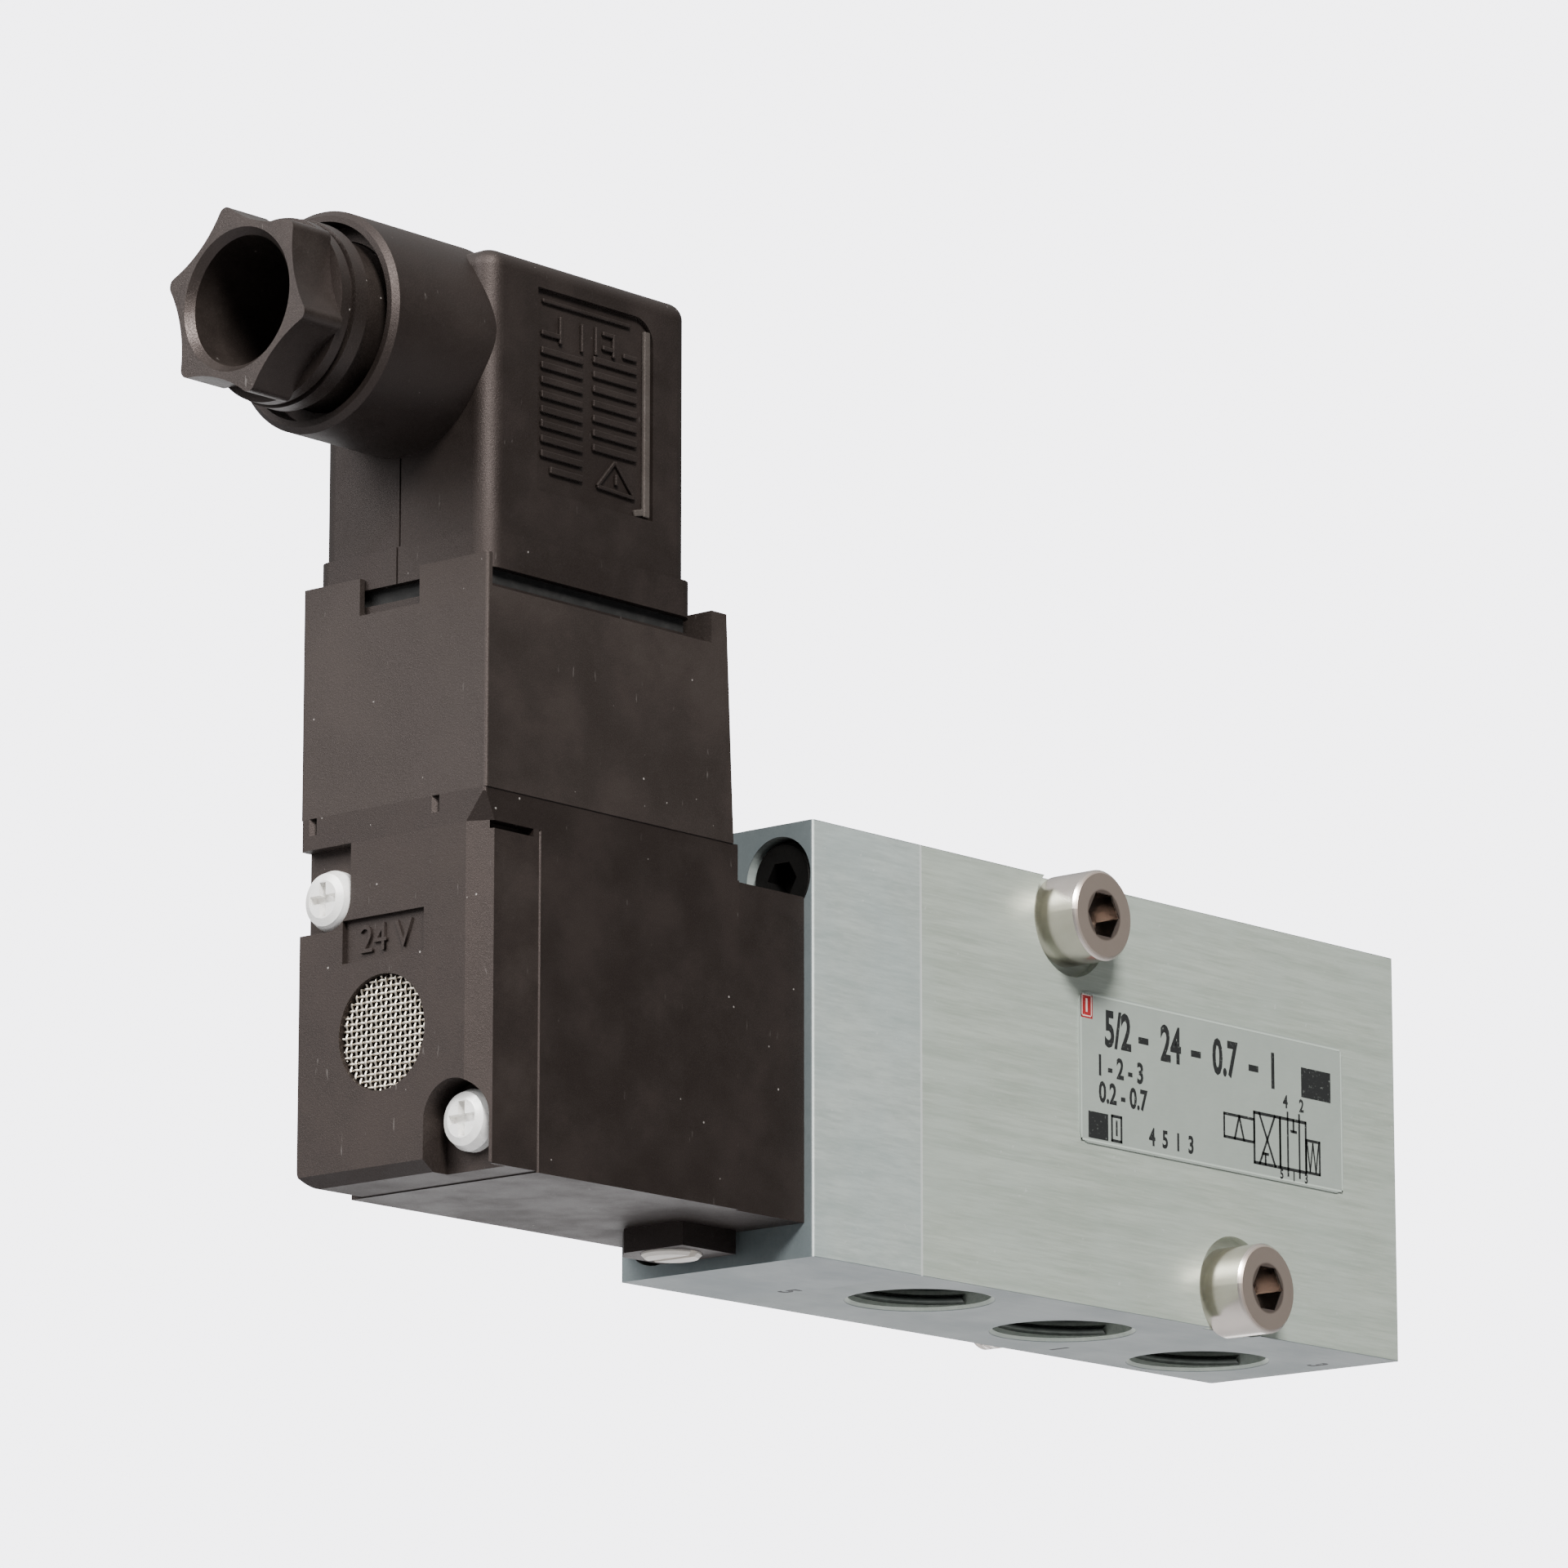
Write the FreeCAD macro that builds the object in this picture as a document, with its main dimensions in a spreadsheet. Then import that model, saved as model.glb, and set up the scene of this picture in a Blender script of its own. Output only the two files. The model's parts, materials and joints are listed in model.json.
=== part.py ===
import FreeCAD, Part
import math
import operator
import os
from types import SimpleNamespace

import Sketcher

# A pilot-operated 5/2 solenoid valve with an actuator-face mounting pattern. Millimetres, +Z up.
# The origin is the centre of the mounting pattern, on the back face of the aluminium block.
# +X runs from the pilot end to the blind end, and +Y points out of the mounting face.

SIZES = {
    # aluminium block: valve body and end plate
    "block_high": 39.5,
    "block_deep": 23.0,
    "body_left": -33.5,
    "body_right": 37.7,
    "plate_left": -48.4,
    "bolt_dx": 12.0,
    "bolt_dz": 16.0,
    "bolt_radius": 2.5,
    "bolt_out": 8.0,
    "spotface_radius": 5.3,
    "spotface_deep": 1.0,
    # bottom and back ports
    "port_radius": 6.58,
    "port_deep": 11.0,
    "port_drill": 4.5,
    "port5_x": -22.5,
    "port5_y": -13.4,
    "port1_x": 1.1,
    "port1_y": -11.0,
    "port3_x": 25.0,
    "port3_y": -8.3,
    "back_port_radius": 4.2,
    "face_seal_radius": 10.05,
    "face_seal_thick": 1.5,
    # spool bore along X
    "axis_y": -11.5,
    "bore_radius": 6.5,
    "ring_radius": 7.3,
    "supply_ring_radius": 9.3,
    "ring_wide": 5.0,
    "plug_left": 34.1,
    "plug_right": 36.2,
    "plug_radius": 8.0,
    "clip_thick": 1.0,
    "clip_radius": 8.6,
    # spool, piston and return spring
    "spool_left": -33.0,
    "spool_right": 29.9,
    "land_radius": 6.45,
    "land_wide": 3.0,
    "neck_radius": 4.0,
    "groove_radius": 4.9,
    "groove_wide": 1.7,
    "ring_section": 0.75,
    "spring_bore": 2.7,
    "spring_left": 14.0,
    "chamber_left": -42.4,
    "chamber_radius": 7.9,
    "piston_left": -42.2,
    "piston_right": -38.7,
    "piston_radius": 7.85,
    # screws of the end plate, M4
    "plate_screw_y": -18.9,
    "plate_screw_z": 14.85,
    "plate_seat": -43.9,
    # pilot air ways
    "supply_z": 9.4,
    "signal_y": -8.5,
    "signal_z": -4.0,
    "drill": 0.9,
    # pilot body and its cover
    "pilot_front": -22.4,
    "pilot_back": -0.4,
    "pilot_low": -16.65,
    "pilot_high": 15.95,
    "neck_left": -57.65,
    "neck_inset": 0.45,
    "neck_high": 12.75,
    "cover_left": -90.4,
    "cover_right": -83.6,
    "cover_low": -16.55,
    "flange_low": 13.15,
    "edge_round": 0.3,
    "seam": 0.25,
    "screw1_y": -3.7,
    "screw1_z": 8.45,
    "screw1_seat": -89.1,
    "screw2_y": -18.8,
    "screw2_z": -12.3,
    "screw2_seat": -87.3,
    "pilot_screw_long": 45.0,
    "exhaust_y": -10.4,
    "exhaust_z": -3.95,
    "exhaust_radius": 5.1,
    # manual override
    "override_x": -53.2,
    "override_y": -10.5,
    "boss_low": -18.8,
    "button_radius": 2.7,
    "button_low": -19.25,
    "button_top": -12.5,
    "override_top": -7.5,
    # coil and armature, on a vertical axis
    "coil_x": -74.4,
    "coil_right": -58.5,
    "coil_front": -22.5,
    "coil_back": -0.3,
    "coil_high": 36.6,
    "sill_high": 33.65,
    "base_low": 32.65,
    "base_high": 34.15,
    "tube_radius": 5.0,
    "armature_radius": 4.5,
    "armature_low": 10.8,
    "armature_high": 25.3,
    "lift": 1.2,
    "core_high": 32.4,
    # plug connector
    "skirt_left": -89.7,
    "skirt_right": -62.8,
    "skirt_front": -21.8,
    "skirt_back": -1.0,
    "skirt_low": 35.65,
    "skirt_high": 38.95,
    "hood_step": 0.3,
    "hood_right": -63.3,
    "hood_high": 64.5,
    "hood_wall": 1.7,
    "screw_x": -76.25,
    # cable gland
    "gland_z": 56.85,
    "gland_radius": 9.85,
    "gland_left": -100.9,
    "gland_bore": 7.6,
    "gland_seat": -89.9,
    "nut_left": -110.3,
    "nut_shoulder": -105.7,
    "nut_right": -96.2,
    "nut_corner": 8.6,
    "nut_bore": 5.75,
    "grommet_left": -95.1,
    # name label
    "label_left": -11.0,
    "label_right": 29.1,
    "label_low": -4.55,
    "label_high": 9.65,
    "label_thick": 0.12,
}

doc = FreeCAD.newDocument("solenoid_valve")
sheet = doc.addObject("Spreadsheet::Sheet", "Sizes")
for row, (alias, amount) in enumerate(SIZES.items(), start=1):
    sheet.set(f"A{row}", alias)
    sheet.set(f"B{row}", str(amount))
    sheet.setAlias(f"B{row}", alias)
doc.recompute()

OPERATORS = {"+": operator.add, "-": operator.sub, "*": operator.mul, "/": operator.truediv}


class Size:
    """A size from the sheet: its present value, and the expression that gives it."""

    def __init__(self, value, text):
        self.value = value
        self.text = text

    def __add__(self, other):
        return combine(self, "+", other)

    def __radd__(self, other):
        return combine(other, "+", self)

    def __sub__(self, other):
        return combine(self, "-", other)

    def __rsub__(self, other):
        return combine(other, "-", self)

    def __mul__(self, other):
        return combine(self, "*", other)

    def __rmul__(self, other):
        return combine(other, "*", self)

    def __truediv__(self, other):
        return combine(self, "/", other)

    def __neg__(self):
        return combine(0, "-", self)


def value_of(size):
    return size.value if isinstance(size, Size) else float(size)


def text_of(size):
    return size.text if isinstance(size, Size) else f"{size:.6f}"


def combine(left, sign, right):
    value = OPERATORS[sign](value_of(left), value_of(right))
    return Size(value, f"({text_of(left)} {sign} {text_of(right)})")


d = SimpleNamespace(**{alias: Size(amount, f"Sizes.{alias}") for alias, amount in SIZES.items()})

HALF_HIGH = d.block_high / 2
FRONT = -d.block_deep
BOLTS = [(-d.bolt_dx, d.bolt_dz), (d.bolt_dx, -d.bolt_dz)]
PLATE_SCREWS = [(d.plate_screw_y, d.plate_screw_z), (-d.block_deep - d.plate_screw_y, -d.plate_screw_z)]
PILOT_SCREWS = [(d.screw1_y, d.screw1_z, d.screw1_seat), (d.screw2_y, d.screw2_z, d.screw2_seat)]
BOTTOM_PORTS = [(d.port5_x, d.port5_y), (d.port1_x, d.port1_y), (d.port3_x, d.port3_y)]

# ---------------------------------------------------------------- how the pieces are made

TURNS = {
    "X": FreeCAD.Rotation(),
    "Y": FreeCAD.Rotation(FreeCAD.Vector(0, 0, 1), 90),
    "Z": FreeCAD.Rotation(FreeCAD.Vector(0, 1, 0), -90),
    "-Z": FreeCAD.Rotation(FreeCAD.Vector(0, 1, 0), 90),
}
PLANES = {"X": "YZ_Plane", "Y": "XZ_Plane", "Z": "XY_Plane"}
DIRECTIONS = {"X": FreeCAD.Vector(1, 0, 0), "Y": FreeCAD.Vector(0, 1, 0), "Z": FreeCAD.Vector(0, 0, 1)}
parts = []


def keep(item, label):
    """Count an object among the sub-parts under its own label."""
    item.Label = label
    parts.append(item)
    return item


def place(item, at, along="X"):
    """Tie an object's position to the sheet; its own X axis then points along the named axis."""
    position = FreeCAD.Vector(*[value_of(size) for size in at])
    item.Placement = FreeCAD.Placement(position, TURNS[along])
    for axis, size in zip("xyz", at):
        item.setExpression(f".Placement.Base.{axis}", text_of(size))
    return item


def new_body(label):
    return keep(doc.addObject("PartDesign::Body", "Body"), label)


def sketch_on(body, normal, level):
    """An empty sketch on one of the body's own planes, moved along the plane's normal."""
    plane = next(item for item in body.Origin.OriginFeatures if item.Role == PLANES[normal])
    sketch = body.newObject("Sketcher::SketchObject", "Sketch")
    sketch.AttachmentSupport = [(plane, "")]
    sketch.MapMode = "FlatFace"
    sketch.setExpression(".AttachmentOffset.Base.z", text_of(level))
    return sketch


def hold(sketch, kind, geometry, point, size):
    """Fix a coordinate of a sketch point by a constraint that follows the sheet."""
    number = sketch.addConstraint(Sketcher.Constraint(kind, -1, 1, geometry, point, value_of(size)))
    sketch.setExpression(f"Constraints[{number}]", text_of(size))


def draw_outline(sketch, points):
    """A closed outline of straight lines whose every corner is held in place."""
    first = sketch.GeometryCount
    corners = [FreeCAD.Vector(value_of(x), value_of(y), 0) for x, y in points]
    for start, end in zip(corners, corners[1:] + corners[:1]):
        sketch.addGeometry(Part.LineSegment(start, end))
    for step, (x, y) in enumerate(points):
        following = first + (step + 1) % len(points)
        sketch.addConstraint(Sketcher.Constraint("Coincident", first + step, 2, following, 1))
        hold(sketch, "DistanceX", first + step, 1, x)
        hold(sketch, "DistanceY", first + step, 1, y)


def draw_circle(sketch, x, y, radius):
    centre = FreeCAD.Vector(value_of(x), value_of(y), 0)
    number = sketch.addGeometry(Part.Circle(centre, FreeCAD.Vector(0, 0, 1), value_of(radius)))
    hold(sketch, "DistanceX", number, 3, x)
    hold(sketch, "DistanceY", number, 3, y)
    size = sketch.addConstraint(Sketcher.Constraint("Radius", number, value_of(radius)))
    sketch.setExpression(f"Constraints[{size}]", text_of(radius))


def stretch(body, kind, normal, low, high, outlines=(), circles=()):
    """Pad or pocket flat shapes between two levels along one of the body's axes."""
    start = -high if normal == "Y" else low
    sketch = sketch_on(body, normal, start)
    for points in outlines:
        draw_outline(sketch, points)
    for x, y, radius in circles:
        draw_circle(sketch, x, y, radius)
    feature = body.newObject(f"PartDesign::{kind}", kind)
    feature.Profile = sketch
    feature.setExpression("Length", text_of(high - low))
    if kind == "Pocket":
        feature.Reversed = True
    return feature


def pad(body, normal, low, high, outlines=(), circles=()):
    return stretch(body, "Pad", normal, low, high, outlines, circles)


def pocket(body, normal, low, high, outlines=(), circles=()):
    return stretch(body, "Pocket", normal, low, high, outlines, circles)


def rectangle(x_low, x_high, y_low, y_high):
    return [(x_low, y_low), (x_high, y_low), (x_high, y_high), (x_low, y_high)]


def hexagon(corner, turn=0.0):
    angles = [math.radians(turn + 60 * step) for step in range(6)]
    return [(corner * math.cos(angle), corner * math.sin(angle)) for angle in angles]


def turned(label, points, at=(0, 0, 0), along="X"):
    """A piece turned about its own X axis from an outline of lengths and radii."""
    body = new_body(label)
    sketch = sketch_on(body, "Z", 0)
    draw_outline(sketch, points)
    feature = body.newObject("PartDesign::Revolution", "Revolution")
    feature.Profile = sketch
    feature.ReferenceAxis = (sketch, ["H_Axis"])
    feature.Angle = 360
    place(body, at, along)
    return body


def bore(body, y, z, points):
    """Cut a turned shape out of a body, about a line along X at the given Y and Z."""
    sketch = sketch_on(body, "Y", -y)
    sketch.setExpression(".AttachmentOffset.Base.y", text_of(z))
    draw_outline(sketch, points)
    feature = body.newObject("PartDesign::Groove", "Groove")
    feature.Profile = sketch
    feature.ReferenceAxis = (sketch, ["H_Axis"])
    feature.Angle = 360


def find_edges(shape, along, test):
    """Names of the straight edges along an axis whose midpoints pass a test."""
    names = []
    for number, edge in enumerate(shape.Edges, start=1):
        if edge.Curve.TypeId != "Part::GeomLine":
            continue
        if abs(abs(edge.Curve.Direction.dot(DIRECTIONS[along])) - 1) > 1e-6:
            continue
        if test(edge.CenterOfMass):
            names.append(f"Edge{number}")
    return names


def round_edges(body, radius, along, test=lambda middle: True):
    """Round the straight edges along an axis that pass the test."""
    doc.recompute()
    base = body.Tip
    feature = body.newObject("PartDesign::Fillet", "Fillet")
    feature.Base = (base, find_edges(base.Shape, along, test))
    feature.setExpression("Radius", text_of(radius))


def break_rims(body, size, radius, test):
    """Chamfer the round rims of one radius whose centres pass the test."""
    doc.recompute()
    base = body.Tip
    names = []
    for number, edge in enumerate(base.Shape.Edges, start=1):
        if edge.Curve.TypeId != "Part::GeomCircle":
            continue
        if abs(edge.Curve.Radius - value_of(radius)) < 1e-4 and test(edge.Curve.Center):
            names.append(f"Edge{number}")
    feature = body.newObject("PartDesign::Chamfer", "Chamfer")
    feature.Base = (base, names)
    feature.setExpression("Size", text_of(size))


def group(label, items):
    """Several separate solids that are one node."""
    together = doc.addObject("Part::Compound", "Group")
    together.Links = items
    return keep(together, label)


def loose(body):
    """Take a piece back out of the list of sub-parts, because a group holds it."""
    parts.remove(body)
    return body


def ring(label, at, along, middle, section):
    """A seal ring of round section about the named axis."""
    torus = doc.addObject("Part::Torus", "Ring")
    torus.setExpression("Radius1", text_of(middle))
    torus.setExpression("Radius2", text_of(section))
    place(torus, at, along)
    upright = FreeCAD.Rotation(FreeCAD.Vector(0, 1, 0), 90)
    torus.Placement.Rotation = TURNS[along].multiply(upright)
    return keep(torus, label)


def spring(label, at, along, middle, wire, long, turns):
    """A round-wire compression spring that starts at a point and runs along an axis."""
    helix = doc.addObject("Part::Helix", "Coils")
    helix.setExpression("Radius", text_of(middle))
    helix.setExpression("Height", text_of(long))
    helix.setExpression("Pitch", text_of(long / turns))
    section = doc.addObject("Part::Circle", "Wire")
    section.setExpression("Radius", text_of(wire))
    section.Placement.Rotation = FreeCAD.Rotation(FreeCAD.Vector(1, 0, 0), 90)
    section.setExpression(".Placement.Base.x", text_of(middle))
    coils = doc.addObject("Part::Sweep", "Spring")
    coils.Sections = [section]
    coils.Spine = (helix, ["Edge1"])
    coils.Solid = True
    coils.Frenet = True
    place(coils, at, along)
    upright = FreeCAD.Rotation(FreeCAD.Vector(0, 1, 0), 90)
    coils.Placement.Rotation = TURNS[along].multiply(upright)
    return keep(coils, label)


def cap_screw(at, along, head, head_long, shank, shank_long, flats, plain_long=0):
    """A socket head cap screw whose head starts at a point and whose shank runs along an axis.
    The shank's plain length under the head is thinner than its thread, as on a captive screw."""
    rim = 0.35
    points = [(0, 0), (0, head - rim), (rim, head), (head_long, head)]
    if plain_long:
        plain = shank - 0.4
        thread = head_long + plain_long
        points += [(head_long, plain), (thread, plain), (thread, shank)]
    else:
        points.append((head_long, shank))
    end = head_long + shank_long
    points += [(end - rim, shank), (end, shank - rim), (end, 0)]
    screw = loose(turned("screw", points, at, along))
    pocket(screw, "X", 0, 0.55 * head_long, [hexagon(flats / math.sqrt(3))])
    return screw


def pan_screw(at, along, head, head_long, shank, shank_long, arms):
    """A pan head screw with a slot or a cross recess of the given number of arms."""
    crown = 0.3 * head_long
    points = [
        (0, 0),
        (0, 0.62 * head),
        (crown / 2, 0.86 * head),
        (crown * 2, head),
        (head_long, head),
        (head_long, shank),
        (head_long + shank_long, shank),
        (head_long + shank_long, 0),
    ]
    screw = loose(turned("screw", points, at, along))
    reach = 0.56 * head if arms == 4 else 0.92 * head
    slot = 0.14 * head
    pocket(screw, "X", 0, 0.5 * head_long, [rectangle(-reach, reach, -slot, slot)])
    if arms == 4:
        pocket(screw, "X", 0, 0.5 * head_long, [rectangle(-slot, slot, -reach, reach)])
    return screw


# ---------------------------------------------------------------- aluminium block

RING_CENTRES = [d.port5_x, -d.bolt_dx, d.port1_x, d.bolt_dx, d.port3_x]


def valve_body():
    body = new_body("valve_body")
    pad(body, "Z", -HALF_HIGH, HALF_HIGH, [rectangle(d.body_left, d.body_right, FRONT, 0)])
    round_edges(body, d.edge_round, "Z", lambda middle: middle.x > 0)
    # the spool bore, with a wide ring at each port and a seat for the plug at the blind end
    points = [(d.body_left, 0), (d.body_left, d.bore_radius)]
    for centre in RING_CENTRES:
        radius = d.supply_ring_radius if centre is d.port1_x else d.ring_radius
        low = centre - d.ring_wide / 2
        high = centre + d.ring_wide / 2
        points += [(low, d.bore_radius), (low, radius), (high, radius), (high, d.bore_radius)]
    points += [
        (d.plug_left, d.bore_radius),
        (d.plug_left, d.plug_radius),
        (d.plug_right, d.plug_radius),
        (d.plug_right, d.clip_radius),
        (d.plug_right + d.clip_thick, d.clip_radius),
        (d.plug_right + d.clip_thick, d.plug_radius),
        (d.body_right, d.plug_radius),
        (d.body_right, 0),
    ]
    bore(body, d.axis_y, 0, points)
    # the three ports underneath
    floor = -HALF_HIGH + d.port_deep
    pocket(body, "Z", -HALF_HIGH, floor, circles=[(x, y, d.port_radius) for x, y in BOTTOM_PORTS])
    drills = [(x, d.axis_y, d.port_drill) for x, y in BOTTOM_PORTS]
    pocket(body, "Z", floor - 0.5, -d.bore_radius, circles=drills)
    break_rims(body, 0.35, d.port_radius, lambda centre: centre.z < value_of(-HALF_HIGH) + 0.1)
    # the two ports on the mounting face, each in a recess for its seal
    backs = [(-d.bolt_dx, 0), (d.bolt_dx, 0)]
    seats = [(x, z, d.face_seal_radius) for x, z in backs]
    pocket(body, "Y", -d.face_seal_thick, 0, circles=seats)
    deep = d.axis_y + d.bore_radius
    pocket(body, "Y", deep - 0.5, -d.face_seal_thick, circles=[(x, z, d.back_port_radius) for x, z in backs])
    # bolt holes and their spotfaces, which break out of the top and bottom edges
    pocket(body, "Y", FRONT, 0, circles=[(x, z, d.bolt_radius + 0.25) for x, z in BOLTS])
    spotfaces = [(x, z, d.spotface_radius) for x, z in BOLTS]
    pocket(body, "Y", FRONT, FRONT + d.spotface_deep, circles=spotfaces)
    # tapped holes for the end plate's screws, and the air way to the pilot
    tapped = [(y, z, 2.0) for y, z in PLATE_SCREWS]
    pocket(body, "X", d.body_left, d.body_left + 9, circles=tapped)
    pocket(body, "X", d.body_left, d.port1_x, circles=[(d.axis_y, d.supply_z, d.drill)])


def pilot_end_plate():
    body = new_body("pilot_end_plate")
    pad(body, "Z", -HALF_HIGH, HALF_HIGH, [rectangle(d.plate_left, d.body_left, FRONT, 0)])
    round_edges(body, d.edge_round, "Z", lambda middle: middle.x < value_of(d.plate_left) + 0.1)
    pocket(body, "X", d.chamber_left, d.body_left, circles=[(d.axis_y, 0, d.chamber_radius)])
    # the gasket's recess
    inset = rectangle(FRONT + 0.6, -0.6, 0.6 - HALF_HIGH, HALF_HIGH - 0.6)
    pocket(body, "X", d.body_left - 0.4, d.body_left, [inset])
    # air ways, through screws with sunk heads, and tapped holes for the pilot's screws
    pocket(body, "X", d.plate_left, d.chamber_left, circles=[(d.signal_y, d.signal_z, d.drill)])
    pocket(body, "X", d.plate_left, d.body_left, circles=[(d.axis_y, d.supply_z, d.drill)])
    pocket(body, "X", d.plate_left, d.body_left, circles=[(y, z, 2.2) for y, z in PLATE_SCREWS])
    pocket(body, "X", d.plate_left, d.plate_seat, circles=[(y, z, 3.8) for y, z in PLATE_SCREWS])
    tapped = [(y, z, 1.5) for y, z, seat in PILOT_SCREWS]
    pocket(body, "X", d.plate_left, d.plate_left + 8, circles=tapped)


def end_plate_gasket():
    body = new_body("end_plate_gasket")
    outline = rectangle(FRONT + 0.6, -0.6, 0.6 - HALF_HIGH, HALF_HIGH - 0.6)
    pad(body, "X", d.body_left - 0.4, d.body_left, [outline])
    holes = [(y, z, 2.3) for y, z in PLATE_SCREWS]
    holes += [(d.axis_y, 0, d.chamber_radius), (d.axis_y, d.supply_z, d.drill)]
    pocket(body, "X", d.body_left - 0.4, d.body_left, circles=holes)


def end_plate_screws():
    screws = [
        cap_screw((d.plate_seat - 4, y, z), "X", 3.5, 4, 2.0, 18, 3) for y, z in PLATE_SCREWS
    ]
    group("end_plate_screws", screws)


def mounting_screws():
    seat = FRONT + d.spotface_deep
    screws = [
        cap_screw((x, seat - 5, z), "Y", 4.25, 5, d.bolt_radius, d.bolt_out - seat, 4, -seat)
        for x, z in BOLTS
    ]
    group("mounting_screws", screws)


def port_seals():
    section = d.face_seal_thick / 2
    middle = d.face_seal_radius - section
    rings = [loose(ring("seal", (x, -section, 0), "Y", middle, section)) for x in (-d.bolt_dx, d.bolt_dx)]
    group("port_seals", rings)


def name_label():
    body = new_body("name_label")
    outline = rectangle(d.label_left, d.label_right, d.label_low, d.label_high)
    pad(body, "Y", FRONT - d.label_thick, FRONT, [outline])
    round_edges(body, 1.3, "Y")


# ---------------------------------------------------------------- spool and piston

LANDS = [-31.5, -21.9, -3.9, 2.1, 20.1, 28.4]


def spool():
    points = [(d.spool_left, 0)]
    for centre in LANDS:
        side = d.land_wide / 2
        groove = d.groove_wide / 2
        points += [
            (centre - side, d.neck_radius),
            (centre - side, d.land_radius),
            (centre - groove, d.land_radius),
            (centre - groove, d.groove_radius),
            (centre + groove, d.groove_radius),
            (centre + groove, d.land_radius),
            (centre + side, d.land_radius),
            (centre + side, d.neck_radius),
        ]
    # the last land ends in the mouth of the return spring's bore
    points[1] = (d.spool_left, d.neck_radius)
    points[-1] = (d.spool_right, d.spring_bore)
    points += [(d.spring_left, d.spring_bore), (d.spring_left, 0)]
    turned("spool", points, (0, d.axis_y, 0))
    middle = d.land_radius - d.ring_section - 0.02
    rings = [loose(ring("seal", (x, d.axis_y, 0), "X", middle, d.ring_section)) for x in LANDS]
    group("spool_seals", rings)


def piston():
    groove_left = (d.piston_left + d.piston_right) / 2 - 0.85
    points = [
        (d.piston_left, 0),
        (d.piston_left, d.piston_radius),
        (groove_left, d.piston_radius),
        (groove_left, d.piston_radius - 1.6),
        (groove_left + 1.7, d.piston_radius - 1.6),
        (groove_left + 1.7, d.piston_radius),
        (d.piston_right, d.piston_radius),
        (d.piston_right, 3),
        (d.spool_left, 3),
        (d.spool_left, 0),
    ]
    turned("piston", points, (0, d.axis_y, 0))
    ring("piston_seal", (groove_left + 0.85, d.axis_y, 0), "X", d.piston_radius - 0.8, 0.79)


def blind_end():
    spring("return_spring", (d.spring_left + 0.35, d.axis_y, 0), "X", 2.1, 0.3, 20.4, 11)
    outer = d.plug_radius - 0.05
    groove_left = d.plug_left + 0.5
    points = [
        (d.plug_left + 1, 0),
        (d.plug_left + 1, d.spring_bore),
        (d.plug_left, d.spring_bore),
        (d.plug_left, outer),
        (groove_left, outer),
        (groove_left, outer - 1.05),
        (groove_left + 1.1, outer - 1.05),
        (groove_left + 1.1, outer),
        (d.plug_right, outer),
        (d.plug_right, 0),
    ]
    turned("bore_plug", points, (0, d.axis_y, 0))
    ring("plug_seal", (groove_left + 0.55, d.axis_y, 0), "X", outer - 0.5, 0.52)


def retaining_ring():
    """An internal spring clip with a gap and two eared ends for the pliers."""
    body = new_body("retaining_ring")
    left = d.plug_right
    right = d.plug_right + d.clip_thick
    pad(body, "X", left, right, circles=[(d.axis_y, 0, d.clip_radius - 0.05)])
    pocket(body, "X", left, right, circles=[(d.axis_y, 0, d.plug_radius - 1)])
    ears = [(d.axis_y - 2.2, -6.4, 1.5), (d.axis_y + 2.2, -6.4, 1.5)]
    for ear in ears:
        pad(body, "X", left, right, circles=[ear])
    pocket(body, "X", left, right, [rectangle(d.axis_y - 0.7, d.axis_y + 0.7, -9, -4)])
    pocket(body, "X", left, right, circles=[(y, z, 0.6) for y, z, radius in ears])


# ---------------------------------------------------------------- pilot

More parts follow.
